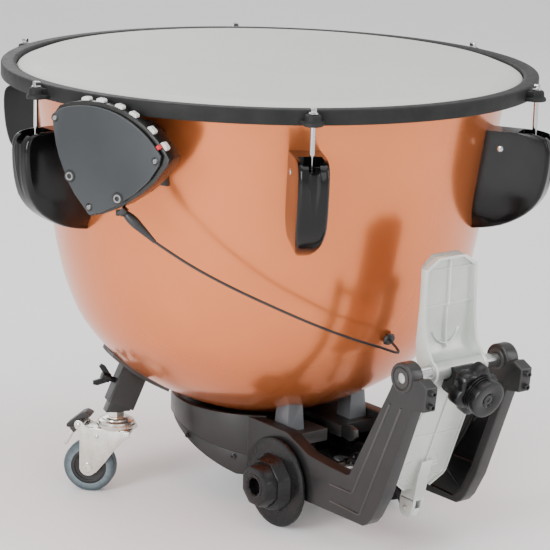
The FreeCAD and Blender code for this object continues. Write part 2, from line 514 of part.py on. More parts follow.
# ---------------------------------------------------------------- legs and casters
sockets = []
TILT = math.radians(S("leg_tilt"))
TR = S("caster_trail")
for side, az in (("left", S("leg_azimuth")), ("right", 180.0 - S("leg_azimuth"))):
    er, et = frame_at(az)
    base = er * S("swivel_circle")
    up_dir = Vector(0, 0, 1) * math.cos(TILT) - er * math.sin(TILT)     # along the leg, upwards
    out_dir = er * math.cos(TILT) + Vector(0, 0, 1) * math.sin(TILT)    # square to it, outwards
    foot = base + Vector(0, 0, 121.6)

    def oriented(lo_, hi_):
        # box in the leg's own axes: outward, tangential, along
        bx_ = Part.makeBox(hi_[0] - lo_[0], hi_[1] - lo_[1], hi_[2] - lo_[2], Vector(*lo_))
        m = FreeCAD.Matrix(out_dir.x, et.x, up_dir.x, foot.x, out_dir.y, et.y, up_dir.y, foot.y,
                           out_dir.z, et.z, up_dir.z, foot.z, 0, 0, 0, 1)
        bx_.Placement = Placement(m)
        return bx_
    sock = oriented((-20, -13, 9.5), (20, 13, 110))
    sock = sock.makeFillet(2.5, [e for e in sock.Edges if abs(e.Length - 100.5) < 0.1])
    flange = oriented((-52, -27, 30), (46, 27, 130)).common(FAR).cut(NEAR)
    sock = sock.cut(NEAR).fuse(flange)
    sock = sock.cut(oriented((-16.35, -9.35, 0), (16.35, 9.35, 62)))
    wb = foot + up_dir * 40.0
    sock = sock.cut(Part.makeCylinder(4.05, 40, wb, out_dir))
    sock = max(sock.Solids, key=lambda q: q.Volume)
    sockets.append(sock.removeSplitter())
    # telescoping leg: square bar, flat at the bottom, caster stem below
    leg = oriented((-16, -9, -10), (16, 9, 60))
    leg = leg.cut(Part.makeBox(120, 120, 60, Vector(foot.x - 60, foot.y - 60, foot.z - 60)))
    leg = leg.fuse(Part.makeCylinder(6.0, 9.0, Vector(foot.x, foot.y, foot.z - 8.0), Vector(0, 0, 1)))
    hexa = [Vector(foot.x + 11 * math.cos(math.radians(60 * k)), foot.y + 11 * math.sin(math.radians(60 * k)), 114.3) for k in range(7)]
    leg = leg.fuse(Part.Face(Part.makePolygon(hexa)).extrude(Vector(0, 0, 7.4)))
    node(feature("leg_" + side, leg.removeSplitter()), "leg_" + side)
    # wing bolt: stem through the socket wall, two wings
    w0 = wb + out_dir * 16.35
    wing = Part.makeCylinder(4.0, 22.0, w0 + out_dir * 0.3, out_dir)
    wing = wing.fuse(Part.makeCylinder(6.5, 12.0, w0 + out_dir * 12.0, out_dir))
    m = FreeCAD.Matrix(up_dir.x, -et.x, out_dir.x, w0.x, up_dir.y, -et.y, out_dir.y, w0.y,
                       up_dir.z, -et.z, out_dir.z, w0.z, 0, 0, 0, 1)
    for s in (-1, 1):
        wpts = [(s * 3, 14), (s * 3, 22), (s * 11, 33), (s * 16, 31), (s * 15, 25), (s * 6, 13)]
        w = Part.Face(Part.makePolygon([Vector(a_, -2.2, b_) for a_, b_ in wpts] + [Vector(wpts[0][0], -2.2, wpts[0][1])])).extrude(Vector(0, 4.4, 0))
        w.Placement = Placement(m)
        wing = wing.fuse(w)
    node(feature("wing_bolt_" + side, wing.removeSplitter()), "wing_bolt_" + side)

    # caster: swivel cap and fork in one pressing, trailing wheel
    td, tn = frame_at(S("trail_azimuth"))
    hub_c = Vector(base.x, base.y, 0) + td * TR + Vector(0, 0, S("wheel_radius"))

    def in_fork(pts2, a0, a1):
        # polygon in (trail, z), extruded along the wheel's axis from a0 to a1
        o = Vector(base.x, base.y, 0)
        w_ = Part.makePolygon([o + td * p[0] + tn * a0 + Vector(0, 0, p[1]) for p in pts2 + [pts2[0]]])
        return Part.Face(w_).extrude(tn * (a1 - a0))
    S0 = Vector(base.x, base.y, 0)
    cap = Part.makeCylinder(S("cap_radius"), 7.0, S0 + Vector(0, 0, 101.0), Vector(0, 0, 1))
    cap = cap.fuse(Part.makeCone(S("cap_radius"), 17.0, 5.8, S0 + Vector(0, 0, 108.0), Vector(0, 0, 1)))
    cap = cap.fuse(Part.makeCone(22.0, 25.0, 5.0, S0 + Vector(0, 0, 96.0), Vector(0, 0, 1)))
    plate = in_fork([(-24, 92), (44, 92), (44, 96), (-24, 96)], -16.0, 16.0)
    fork = cap.fuse(plate)
    for a0, a1 in ((-16.0, -13.4), (13.4, 16.0)):
        fork = fork.fuse(in_fork([(-22, 96), (-26, 90), (6, 52), (27, 28), (34, 23.5), (41, 24.5), (47, 32), (47, 88), (44, 96)], a0, a1))
    fork = fork.fuse(Part.makeCylinder(4.5, 32.0, hub_c - tn * 16.0, tn))
    fork = fork.fuse(Part.makeCylinder(6.5, 3.5, hub_c - tn * 19.5, tn)).fuse(Part.makeCylinder(6.5, 3.5, hub_c + tn * 16.0, tn))
    fork = fork.cut(Part.makeCylinder(6.3, 30.0, S0 + Vector(0, 0, 90.0), Vector(0, 0, 1)))
    node(feature("caster_fork_" + side, fork.removeSplitter()), "caster_fork_" + side)
    ww = S("wheel_width")
    core = Part.makeCylinder(25.8, ww - 2, hub_c - tn * (ww / 2 - 1), tn)
    core = core.cut(Part.makeCylinder(21.0, 4, hub_c - tn * (ww / 2 + 1), tn)).cut(Part.makeCylinder(21.0, 4, hub_c + tn * (ww / 2 - 3), tn))
    core = core.fuse(Part.makeCylinder(9.0, ww + 2.6, hub_c - tn * (ww / 2 + 1.3), tn))
    core = core.cut(Part.makeCylinder(4.56, 60, hub_c - tn * 30, tn))
    node(feature("caster_hub_" + side, core.removeSplitter()), "caster_hub_" + side)
    tyre = Part.makeCylinder(S("wheel_radius"), ww, hub_c - tn * ww / 2, tn)
    tyre = tyre.makeFillet(5.0, [e for e in tyre.Edges if e.Curve.TypeId == "Part::GeomCircle"])
    tyre = tyre.cut(Part.makeCylinder(25.82, 60, hub_c - tn * 30, tn))
    node(feature("caster_tyre_" + side, tyre), "caster_tyre_" + side)
    # brake: dark foot plate with a tail lever, pinned between the fork cheeks
    bk = in_fork([(26, 113), (42, 118.5), (71, 98), (70, 93), (64, 93), (45, 108), (38, 108)], -10.0, 10.0)
    bk = bk.fuse(in_fork([(50, 92), (50, 106), (62, 97), (64, 86), (58, 82)], -3.0, 3.0))
    bk = bk.fuse(in_fork([(60, 88), (66, 90), (74, 74), (72, 71), (69, 72)], -3.0, 3.0))
    node(feature("brake_" + side, bk.removeSplitter()), "brake_" + side)
group("leg_sockets", sockets)

# ---------------------------------------------------------------- tuning gauge
er, et = frame_at(S("gauge_azimuth"))
GF = S("gauge_face")
CT, CZ = -30.0, 470.0      # centre of the scale arc, (across, z)


def gp(t, z, d):
    return er * d + et * t + Vector(0, 0, z)


def plate_g(pts, d0, d1):
    w_ = Part.makePolygon([gp(a, b, d0) for a, b in pts] + [gp(pts[0][0], pts[0][1], d0)])
    return Part.Face(w_).extrude(er * (d1 - d0))


def arc_pts(r, a0, a1, n):
    return [(CT + r * math.cos(math.radians(a0 + (a1 - a0) * i / n)), CZ + r * math.sin(math.radians(a0 + (a1 - a0) * i / n))) for i in range(n + 1)]


left_edge = [(-88.6, 586.7), (-86.5, 570), (-82.3, 548.6), (-77, 532), (-70.2, 516.9), (-62, 500), (-52.1, 486.0), (-30.1, 463.1)]
low_edge = [(-14.5, 467.7), (12.5, 481.3), (39.1, 499.6), (57.9, 516.8), (72.6, 538.1)]
arc_c = arc_pts(133.5, 37.5, 110.5, 18)
COVER = low_edge + arc_c + left_edge
cover = plate_g(COVER, GF - 4.0, GF)
node(feature("gauge_cover", cover), "gauge_cover")
arc_h = arc_pts(138.0, 34.0, 112.0, 20)
HOUS = [(-13.5, 465.0), (15.5, 478.8), (44.0, 498.0), (64.0, 516.0), (82.0, 540.0)] + arc_h + \
       [(-90.5, 587.0), (-84.2, 548.0), (-72.0, 516.0), (-54.0, 484.5), (-31.0, 460.5)]
hous = plate_g(HOUS, 367.0, GF - 8.0)
hous = hous.cut(plate_g([(-140, 588.5), (140, 588.5), (140, 640), (-140, 640)], 350.0, 378.6))
for (t, z) in ((-84.0, 582.5), (68.5, 544.5), (-30.0, 470.0)):
    hous = hous.fuse(Part.makeCylinder(4.6, 4.2, gp(t, z, GF - 8.2), er))
node(feature("gauge_housing", hous), "gauge_housing")
br = plate_g([(-22, 505), (22, 505), (22, 560), (-22, 560)], 300.0, 367.0).cut(NEAR)
br = br.fuse(plate_g([(-36, 495), (36, 495), (36, 570), (-36, 570)], 290.0, 370.0).common(FAR).cut(NEAR))
node(feature("gauge_bracket", max(br.Solids, key=lambda q: q.Volume).removeSplitter()), "gauge_bracket")
scs = []
for (t, z, r) in ((-84.0, 582.5, 3.6), (68.5, 544.5, 3.6), (-30.3, 472.8, 3.6), (-60.2, 509.6, 5.2), (13.3, 489.7, 5.2)):
    scs.append(Part.makeCylinder(r, 1.6, gp(t, z, GF), er))
group("gauge_screws", scs)
# pointer: thin blade turning about the arc's centre, red tip outside the cover
pa = 42.3
ux, uz = math.cos(math.radians(pa)), math.sin(math.radians(pa))
vx, vz = -uz, ux


def pol(r, o):
    return (CT + r * ux + o * vx, CZ + r * uz + o * vz)


blade = plate_g([pol(0, 6), pol(0, -6), pol(132, -1.6), pol(136, -2.6), pol(136, 2.6), pol(132, 1.6)], GF - 6.8, GF - 5.4)
blade = blade.fuse(Part.makeCylinder(9.0, 1.4, gp(CT, CZ, GF - 6.8), er))
blade = blade.fuse(plate_g([pol(134.2, -2.6), pol(138.6, -2.6), pol(138.6, 2.6), pol(134.2, 2.6)], GF - 7.6, GF - 2.0))
blade = blade.cut(Part.makeCylinder(4.66, 30, gp(CT, CZ, GF - 20), er))
node(feature("gauge_pointer", blade.removeSplitter()), "gauge_pointer")
MARK = (95.5, 86.3, 74.6, 65.4, 52.3, 41.4)
for i, ma in enumerate(MARK):
    c, s_ = math.cos(math.radians(ma)), math.sin(math.radians(ma))

    def q(r, o):
        return (CT + r * c - o * s_, CZ + r * s_ + o * c)
    mk = plate_g([q(138.4, -6.6), q(144.2, -6.2), q(144.2, 6.2), q(138.4, 6.6)], GF - 19.0, GF - 8.6)
    node(feature("note_marker_%d" % (i + 1), mk), "note_marker_%d" % (i + 1))

# plug and boot under the gauge, cable and the grommet in the bowl
PL0 = gp(4.0, 473.5, 381.0)
BT0 = Vector(-347.9, -153.4, 465.9)
BT1 = Vector(-322.9, -183.1, 432.0)
bd = (BT1 - BT0)
bd.normalize()
plug = Part.makeCylinder(6.8, 14.0, BT0 - bd * 13.8, bd)
plug = plug.cut(hous)
plug = max(plug.Solids, key=lambda q_: q_.Volume)
node(feature("gauge_plug", plug), "gauge_plug")
bl = (BT1 - BT0).Length
boot = Part.makeCone(5.0, 6.8, bl * 0.28, BT0 + bd * 0.2, bd).fuse(Part.makeCone(6.8, 2.6, bl * 0.72 - 0.2, BT0 + bd * (0.2 + bl * 0.28), bd))
node(feature("cable_boot", boot.removeSplitter()), "cable_boot")
gr = Part.makeCylinder(5.9, 8.0, GROMMET - GN * 5.0, GN).fuse(Part.makeCone(9.5, 7.5, 3.6, GROMMET + GN * 0.4, GN))
gr = gr.cut(Part.makeCylinder(S("cable_diameter") / 2 + 0.02, 40, GROMMET - GN * 20, GN))
node(feature("cable_grommet", gr.removeSplitter()), "cable_grommet")

# route of the gauge cable: corner points of straight runs, joined by arcs
ROUTE = [
    (-322.9, -183.1, 432.0), (-302.0, -207.0, 412.5), (-272.5, -229.5, 391.5), (-238.0, -252.0, 370.5),
    (-199.0, -272.0, 349.5), (-158.0, -288.5, 328.5), (-116.0, -300.5, 309.0), (-76.0, -306.5, 292.5),
    (-42.0, -306.5, 280.0), (-18.0, -305.0, 271.5), (-4.0, -302.0, 267.0),
]
ROUTE_END = [GROMMET + GN * 16.0, GROMMET + GN * 4.0]


def cable_shape(pts, dia):
    P_ = [Vector(*p) if not isinstance(p, Vector) else p for p in pts]
    edges_, radii, length = [], [], 0.0
    cur = P_[0]
    for i in range(1, len(P_) - 1):
        a, b, c = P_[i - 1], P_[i], P_[i + 1]
        d0 = (b - a)
        d1 = (c - b)
        l0, l1 = d0.Length, d1.Length
        d0.normalize()
        d1.normalize()
        turn = math.acos(max(-1, min(1, d0.dot(d1))))
        tl = 0.45 * min(l0, l1)
        r = tl / math.tan(turn / 2)
        radii.append(round(r, 1))
        s_, e_ = b - d0 * tl, b + d1 * tl
        n = d0.cross(d1)
        n.normalize()
        cen = s_ + (n.cross(d0)) * r
        mid = cen + (b - cen).normalize() * r
        if (s_ - cur).Length > 1e-6:
            edges_.append(Part.LineSegment(cur, s_).toShape())
            length += (s_ - cur).Length
        edges_.append(Part.Arc(s_, mid, e_).toShape())
        length += r * turn
        cur = e_
    edges_.append(Part.LineSegment(cur, P_[-1]).toShape())
    length += (P_[-1] - cur).Length
    wire = Part.Wire(edges_)
    t0 = P_[1] - P_[0]
    circ = Part.Wire([Part.Circle(P_[0], t0, dia / 2).toShape()])
    tube = wire.makePipeShell([circ], True, False)
    return tube, radii, length


CD = S("cable_diameter")
cable, radii, clen = cable_shape(ROUTE + ROUTE_END, CD)
if cable.ShapeType != "Solid" and cable.Solids:
    cable = cable.Solids[0]
print("cable radii", radii, "length", round(clen, 1), "volume ratio", round(cable.Volume / (math.pi * CD * CD / 4 * clen), 4))
node(feature("gauge_cable", cable), "gauge_cable")

# ---------------------------------------------------------------- check and write
doc.recompute()
bad = []
for o in doc.Objects:
    if any(x in ("Invalid", "Error") for x in o.State):
        bad.append("%s %s" % (o.Label, o.State))
for o in NODES:
    s = o.Shape
    if s.isNull() or not s.isValid() or not s.Solids:
        bad.append("%s null or not valid" % o.Label)
names = [o.Label for o in NODES]
if len(set(names)) != len(names):
    bad.append("repeated names")
if len(names) > 60:
    bad.append("too many nodes: %d" % len(names))
if bad:
    raise SystemExit("not written: " + "; ".join(bad))
for f in os.listdir("parts"):
    if f.endswith(".step") and f[:-5] not in names:
        os.remove(os.path.join("parts", f))
for o in NODES:
    o.Shape.exportStep("parts/%s.step" % o.Label)
print(len(NODES), "nodes written")
for o in NODES:
    b = o.Shape.BoundBox
    print("%-20s solids %2d vol %9.1f  x %7.1f %7.1f y %7.1f %7.1f z %6.1f %6.1f" % (
        o.Label, len(o.Shape.Solids), o.Shape.Volume / 1000, b.XMin, b.XMax, b.YMin, b.YMax, b.ZMin, b.ZMax))
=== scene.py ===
import json
import math
import bpy
import bmesh
from mathutils import Matrix, Vector


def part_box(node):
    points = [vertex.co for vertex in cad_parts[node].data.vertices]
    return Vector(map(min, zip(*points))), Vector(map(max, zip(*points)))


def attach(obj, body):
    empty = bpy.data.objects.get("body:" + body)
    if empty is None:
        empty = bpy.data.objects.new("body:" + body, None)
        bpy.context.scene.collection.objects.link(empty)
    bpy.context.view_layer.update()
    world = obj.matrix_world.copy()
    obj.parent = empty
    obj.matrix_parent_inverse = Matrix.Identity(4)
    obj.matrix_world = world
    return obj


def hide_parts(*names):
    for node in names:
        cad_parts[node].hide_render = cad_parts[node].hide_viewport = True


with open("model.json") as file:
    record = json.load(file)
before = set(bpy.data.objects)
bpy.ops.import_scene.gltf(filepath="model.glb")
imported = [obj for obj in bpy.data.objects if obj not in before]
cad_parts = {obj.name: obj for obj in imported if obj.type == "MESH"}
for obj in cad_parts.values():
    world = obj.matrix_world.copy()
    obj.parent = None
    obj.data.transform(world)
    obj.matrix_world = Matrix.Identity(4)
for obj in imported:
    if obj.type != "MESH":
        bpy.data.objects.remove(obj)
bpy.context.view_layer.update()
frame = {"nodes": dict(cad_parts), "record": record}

MM = 0.001
scene = bpy.context.scene
NODES = frame["nodes"]
BODY = {n: b for b, ns in frame["record"]["behaviour"]["bodies"].items() for n in ns}

# ------------------------------------------------------------------ camera
right = Vector((0.786557, -0.616806, 0.029595))
up = Vector((0.126305, 0.207607, 0.970029))
back = Vector((-0.604463, -0.759245, 0.241200))
cam_data = bpy.data.cameras.new("camera")
cam = bpy.data.objects.new("camera", cam_data)
scene.collection.objects.link(cam)
cam.matrix_world = Matrix((
    (right.x, up.x, back.x, -1.9892),
    (right.y, up.y, back.y, -2.5235),
    (right.z, up.z, back.z, 1.1067),
    (0, 0, 0, 1)))
cam_data.sensor_width = 36.0
cam_data.lens = 151.34
cam_data.clip_start = 0.1
cam_data.clip_end = 60.0
scene.camera = cam


# ------------------------------------------------------------------ materials
def srgb(r, g, b):
    def f(c):
        c /= 255.0
        return c / 12.92 if c <= 0.04045 else ((c + 0.055) / 1.055) ** 2.4
    return (f(r), f(g), f(b), 1.0)


def material(name, col, col2, rough=(0.35, 0.45), metal=0.0, scale=25.0, detail=4.0,
             bump=0.15, bump_scale=600.0, bump_dist=0.0002, coat=0.0, coat_rough=0.1,
             edge_wear_and_highlight=None, edge_wear_and_highlight_at=(0.53, 0.60), spec=0.5, stretch=None, mix_at=(0.35, 0.65),
             speck=None, speck_scale=900.0, aniso=0.0, cavity_painted_shade=None):
    m = bpy.data.materials.new(name)
    m.use_nodes = True
    nt = m.node_tree
    n, l = nt.nodes, nt.links
    bsdf = n["Principled BSDF"]
    tc = n.new("ShaderNodeTexCoord")
    src = tc.outputs["Object"]
    if stretch:
        mp = n.new("ShaderNodeMapping")
        mp.inputs["Scale"].default_value = stretch
        l.new(src, mp.inputs["Vector"])
        src = mp.outputs["Vector"]
    n1 = n.new("ShaderNodeTexNoise")
    n1.inputs["Scale"].default_value = scale
    n1.inputs["Detail"].default_value = detail
    n1.inputs["Roughness"].default_value = 0.6
    l.new(src, n1.inputs["Vector"])
    ramp = n.new("ShaderNodeMapRange")
    ramp.inputs["From Min"].default_value = mix_at[0]
    ramp.inputs["From Max"].default_value = mix_at[1]
    l.new(n1.outputs["Fac"], ramp.inputs["Value"])
    mix = n.new("ShaderNodeMix")
    mix.data_type = "RGBA"
    mix.inputs["A"].default_value = srgb(*col)
    mix.inputs["B"].default_value = srgb(*col2)
    l.new(ramp.outputs["Result"], mix.inputs["Factor"])
    colour = mix.outputs["Result"]
    if speck:
        n3 = n.new("ShaderNodeTexNoise")
        n3.inputs["Scale"].default_value = speck_scale
        n3.inputs["Detail"].default_value = 2.0
        l.new(src, n3.inputs["Vector"])
        r3 = n.new("ShaderNodeMapRange")
        r3.inputs["From Min"].default_value = 0.52
        r3.inputs["From Max"].default_value = 0.72
        r3.inputs["To Max"].default_value = 0.55
        l.new(n3.outputs["Fac"], r3.inputs["Value"])
        mx = n.new("ShaderNodeMix")
        mx.data_type = "RGBA"
        mx.inputs["B"].default_value = srgb(*speck)
        l.new(colour, mx.inputs["A"])
        l.new(r3.outputs["Result"], mx.inputs["Factor"])
        colour = mx.outputs["Result"]
    # pointiness mask: a lighter colour on convex edges and ridges, partly edge wear and partly painted highlight
    if edge_wear_and_highlight:
        geo = n.new("ShaderNodeNewGeometry")
        rw = n.new("ShaderNodeMapRange")
        rw.inputs["From Min"].default_value = edge_wear_and_highlight_at[0]
        rw.inputs["From Max"].default_value = edge_wear_and_highlight_at[1]
        rw.inputs["To Max"].default_value = 0.75
        l.new(geo.outputs["Pointiness"], rw.inputs["Value"])
        mw = n.new("ShaderNodeMix")
        mw.data_type = "RGBA"
        mw.inputs["B"].default_value = srgb(*edge_wear_and_highlight)
        l.new(colour, mw.inputs["A"])
        l.new(rw.outputs["Result"], mw.inputs["Factor"])
        colour = mw.outputs["Result"]
    # painted shade: a darker colour mixed into concave creases and hollows, masked by pointiness
    if cavity_painted_shade:
        gc = n.new("ShaderNodeNewGeometry")
        rc = n.new("ShaderNodeMapRange")
        rc.inputs["From Min"].default_value = 0.492
        rc.inputs["From Max"].default_value = 0.44
        rc.inputs["To Max"].default_value = 0.85
        l.new(gc.outputs["Pointiness"], rc.inputs["Value"])
        mc = n.new("ShaderNodeMix")
        mc.data_type = "RGBA"
        mc.inputs["B"].default_value = srgb(*cavity_painted_shade)
        l.new(colour, mc.inputs["A"])
        l.new(rc.outputs["Result"], mc.inputs["Factor"])
        colour = mc.outputs["Result"]
    l.new(colour, bsdf.inputs["Base Color"])
    rr = n.new("ShaderNodeMapRange")
    rr.inputs["From Min"].default_value = 0.3
    rr.inputs["From Max"].default_value = 0.7
    rr.inputs["To Min"].default_value = rough[0]
    rr.inputs["To Max"].default_value = rough[1]
    n4 = n.new("ShaderNodeTexNoise")
    n4.inputs["Scale"].default_value = scale * 3.1
    n4.inputs["Detail"].default_value = 5.0
    l.new(src, n4.inputs["Vector"])
    l.new(n4.outputs["Fac"], rr.inputs["Value"])
    l.new(rr.outputs["Result"], bsdf.inputs["Roughness"])
    n2 = n.new("ShaderNodeTexNoise")
    n2.inputs["Scale"].default_value = bump_scale
    n2.inputs["Detail"].default_value = 3.0
    l.new(src, n2.inputs["Vector"])
    bp = n.new("ShaderNodeBump")
    bp.inputs["Strength"].default_value = bump
    bp.inputs["Distance"].default_value = bump_dist
    l.new(n2.outputs["Fac"], bp.inputs["Height"])
    normal = bp.outputs["Normal"]
    l.new(normal, bsdf.inputs["Normal"])
    bsdf.inputs["Metallic"].default_value = metal
    bsdf.inputs["Coat Weight"].default_value = coat
    bsdf.inputs["Coat Roughness"].default_value = coat_rough
    bsdf.inputs["Specular IOR Level"].default_value = spec
    bsdf.inputs["Anisotropic"].default_value = aniso
    return m


# the lighter edge colours below are partly edge wear and partly painted highlight on convex edges and ribs
MAT = {
    "bowl_copper": material("m_bowl_copper", (227, 128, 74), (220, 121, 68), rough=(0.20, 0.27), metal=0.70,
                            scale=5.0, bump=0.02, bump_scale=300, bump_dist=0.0001, coat=0.28, coat_rough=0.07),
    "head_film": material("m_head_film", (196, 197, 192), (191, 192, 186), rough=(0.46, 0.56), scale=4.0,
                          bump=0.25, bump_scale=900, bump_dist=0.0001, speck=(203, 204, 199), speck_scale=500),
    "hoop_black": material("m_hoop_black", (34, 35, 35), (41, 42, 41), rough=(0.44, 0.54), scale=30,
                           bump=0.25, bump_scale=1100, edge_wear_and_highlight=(64, 64, 62), spec=0.10),
    "rod_chrome": material("m_rod_chrome", (205, 206, 208), (172, 174, 176), rough=(0.08, 0.20), metal=1.0,
                           scale=80, bump=0.05, bump_scale=900, stretch=(1, 1, 0.1)),
    "casing_black": material("m_casing_black", (9, 9, 10), (13, 13, 13), rough=(0.14, 0.20), scale=12,
                             bump=0.02, bump_scale=500, spec=0.30, edge_wear_and_highlight=(38, 38, 38), edge_wear_and_highlight_at=(0.57, 0.68)),
    "frame_grey": material("m_frame_grey", (29, 28, 28), (35, 34, 34), rough=(0.30, 0.40), scale=24,
                           bump=0.3, bump_scale=900, bump_dist=0.0003, edge_wear_and_highlight=(78, 76, 75), metal=0.1),
    "post_grey": material("m_post_grey", (60, 64, 69), (71, 76, 81), rough=(0.34, 0.44), scale=30,
                          bump=0.35, bump_scale=900, bump_dist=0.0003, metal=0.15, edge_wear_and_highlight=(130, 134, 138)),
    "shaft_steel": material("m_shaft_steel", (206, 207, 204), (186, 188, 186), rough=(0.20, 0.30), metal=0.95,
                            scale=60, bump=0.1, bump_scale=900, stretch=(0.08, 1, 1)),
    # pedal: painted shade in its creases from the cavity colour, and a lighter edge tint that is partly wear and partly
    # painted highlight
    "pedal_silver": material("m_pedal_silver", (204, 208, 202), (190, 195, 189), rough=(0.30, 0.42), metal=0.45, cavity_painted_shade=(96, 100, 98),
                             scale=18, bump=0.5, bump_scale=1300, bump_dist=0.0004, edge_wear_and_highlight=(232, 234, 230),
                             speck=(220, 223, 218), speck_scale=1500),
    "knob_black": material("m_knob_black", (13, 13, 14), (19, 19, 20), rough=(0.24, 0.34), scale=35,
                           bump=0.0, bump_scale=1400, bump_dist=0.0001, spec=0.35),
    "gauge_slate": material("m_gauge_slate", (47, 50, 53), (51, 54, 57), rough=(0.42, 0.50), scale=14,
                            bump=0.3, bump_scale=1300, metal=0.05, edge_wear_and_highlight=(104, 108, 110), spec=0.25),
    "gauge_black": material("m_gauge_black", (17, 16, 16), (25, 24, 23), rough=(0.24, 0.34), scale=25,
                            bump=0.15, bump_scale=1300, coat=0.1),
    "marker_white": material("m_marker_white", (222, 223, 220), (204, 205, 201), rough=(0.35, 0.5), scale=90,
                             bump=0.2, bump_scale=1500),
    "pointer_red": material("m_pointer_red", (208, 28, 42), (186, 20, 34), rough=(0.35, 0.45), scale=120,
                            bump=0.1, bump_scale=1500),
    "fork_zinc": material("m_fork_zinc", (232, 229, 222), (206, 203, 195), rough=(0.18, 0.30), metal=0.92,
                          scale=45, bump=0.15, bump_scale=500, speck=(228, 225, 216), speck_scale=350),
    "tyre_grey": material("m_tyre_grey", (62, 74, 80), (71, 84, 90), rough=(0.5, 0.62), scale=60,
                          bump=0.4, bump_scale=1200, bump_dist=0.0003, edge_wear_and_highlight=(116, 130, 136)),
    "wheel_black": material("m_wheel_black", (20, 20, 21), (28, 28, 29), rough=(0.36, 0.46), scale=40,
                            bump=0.3, bump_scale=1200),
    "screw_dark": material("m_screw_dark", (44, 44, 45), (60, 60, 60), rough=(0.25, 0.38), metal=0.6,
                           scale=90, bump=0.15, bump_scale=1500),
    "cable_black": material("m_cable_black", (30, 30, 31), (39, 39, 40), rough=(0.34, 0.44), scale=60,
                            bump=0.3, bump_scale=1400),
    "inner_steel": material("m_inner_steel", (150, 152, 153), (128, 130, 132), rough=(0.3, 0.45), metal=0.9,
                            scale=50, bump=0.15, bump_scale=900),
    "pad_grey": material("m_pad_grey", (150, 147, 141), (162, 159, 152), rough=(0.6, 0.75), scale=60,
                         bump=0.6, bump_scale=700, bump_dist=0.0004),
}
SLOT = {}
for row in frame["record"]["subparts"]:
    SLOT[row["node"]] = row["material_slot"]


# ------------------------------------------------------------------ mesh helpers (all lengths in mm)
def finish_mesh(name, bm, mat, body, replaces=(), sharp=32.0, merge=True):
    if merge:
        bmesh.ops.remove_doubles(bm, verts=bm.verts, dist=0.004)
    me = bpy.data.meshes.new(name)
    bmesh.ops.recalc_face_normals(bm, faces=bm.faces)
    bm.transform(Matrix.Scale(MM, 4))
    bm.to_mesh(me)
    bm.free()
    for p in me.polygons:
        p.use_smooth = True
    me.set_sharp_from_angle(angle=math.radians(sharp))
    ob = bpy.data.objects.new(name, me)
    scene.collection.objects.link(ob)
    me.materials.append(MAT[mat])
    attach(ob, body)
    if replaces:
        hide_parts(*replaces)
    return ob


def cad_bm(node):
    bm = bmesh.new()
    bm.from_mesh(NODES[node].data)
    bm.transform(Matrix.Scale(1000.0, 4))
    bmesh.ops.remove_doubles(bm, verts=bm.verts, dist=0.004)
    return bm


def soften(bm, width, segs=2, angle=26.0, flat=1.0):
    bmesh.ops.dissolve_limit(bm, angle_limit=math.radians(flat), verts=bm.verts, edges=bm.edges)
    es = [e for e in bm.edges if len(e.link_faces) == 2 and e.calc_face_angle(0) > math.radians(angle)]
    bmesh.ops.bevel(bm, geom=es, offset=width, offset_type="OFFSET", segments=segs, profile=0.6,
                    affect="EDGES", clamp_overlap=True)
    return bm


def from_cad(node, mat=None, width=0.8, segs=2, angle=26.0, name=None, sharp=32.0, replaces=None):
    bm = soften(cad_bm(node), width, segs, angle)
    return finish_mesh(name or node + "_v", bm, mat or SLOT.get(node, "frame_grey"), BODY[node],
                       replaces if replaces is not None else (node,), sharp)


def axes(direction):
    k = Vector(direction).normalized()
    a = Vector((0, 0, 1)) if abs(k.z) < 0.9 else Vector((1, 0, 0))
    i = a.cross(k).normalized()
    return i, k.cross(i), k


def lathe(bm, profile, origin=(0, 0, 0), direction=(0, 0, 1), seg=48, closed=False, spin=0.0):
    """profile: (radius, height along the direction)."""
    i, j, k = axes(direction)
    o = Vector(origin)
    rings = []
    for r, h in profile:
        if r < 1e-6:
            rings.append([bm.verts.new(o + k * h)])
        else:
            rings.append([bm.verts.new(o + k * h + (i * math.cos(2 * math.pi * s / seg + spin) + j * math.sin(2 * math.pi * s / seg + spin)) * r) for s in range(seg)])
    pairs = list(zip(rings[:-1], rings[1:]))
    if closed:
        pairs.append((rings[-1], rings[0]))
    for a, b in pairs:
        for s in range(seg):
            t = (s + 1) % seg
            if len(a) == 1 and len(b) == 1:
                continue
            if len(a) == 1:
                bm.faces.new((a[0], b[s], b[t]))
            elif len(b) == 1:
                bm.faces.new((a[s], b[0], a[t]))
            else:
                bm.faces.new((a[s], b[s], b[t], a[t]))
    return bm


def rod(bm, p0, p1, r, chamfer=0.4, seg=32, r2=None, spin=0.0):
    p0, p1 = Vector(p0), Vector(p1)
    h = (p1 - p0).length
    c = min(chamfer, r * 0.45, h * 0.45)
    q = r if r2 is None else r2
    d = c * 0.3
    prof = [(0, 0), (r - c, 0), (r - d, d), (r, c), (q, h - c), (q - d, h - d), (q - c, h), (0, h)]
    return lathe(bm, prof, p0, p1 - p0, seg, spin=spin)


def prism(bm, pts, lo, hi, place, width=0.8, segs=2):
    """Closed outline pts (a, b), extruded from lo to hi; place(a, b, c) gives the point."""
    sub = bmesh.new()
    va = [sub.verts.new(place(a, b, lo)) for a, b in pts]
    vb = [sub.verts.new(place(a, b, hi)) for a, b in pts]
    sub.faces.new(va)
    sub.faces.new(list(reversed(vb)))
    n = len(pts)
    for s in range(n):
        t = (s + 1) % n
        sub.faces.new((va[s], vb[s], vb[t], va[t]))
    bmesh.ops.recalc_face_normals(sub, faces=sub.faces)
    if width:
        es = [e for e in sub.edges if e.calc_face_angle(0) > math.radians(20)]
        bmesh.ops.bevel(sub, geom=es, offset=width, offset_type="OFFSET", segments=segs, profile=0.6,
                        affect="EDGES", clamp_overlap=True)
    join(bm, sub)
    return bm


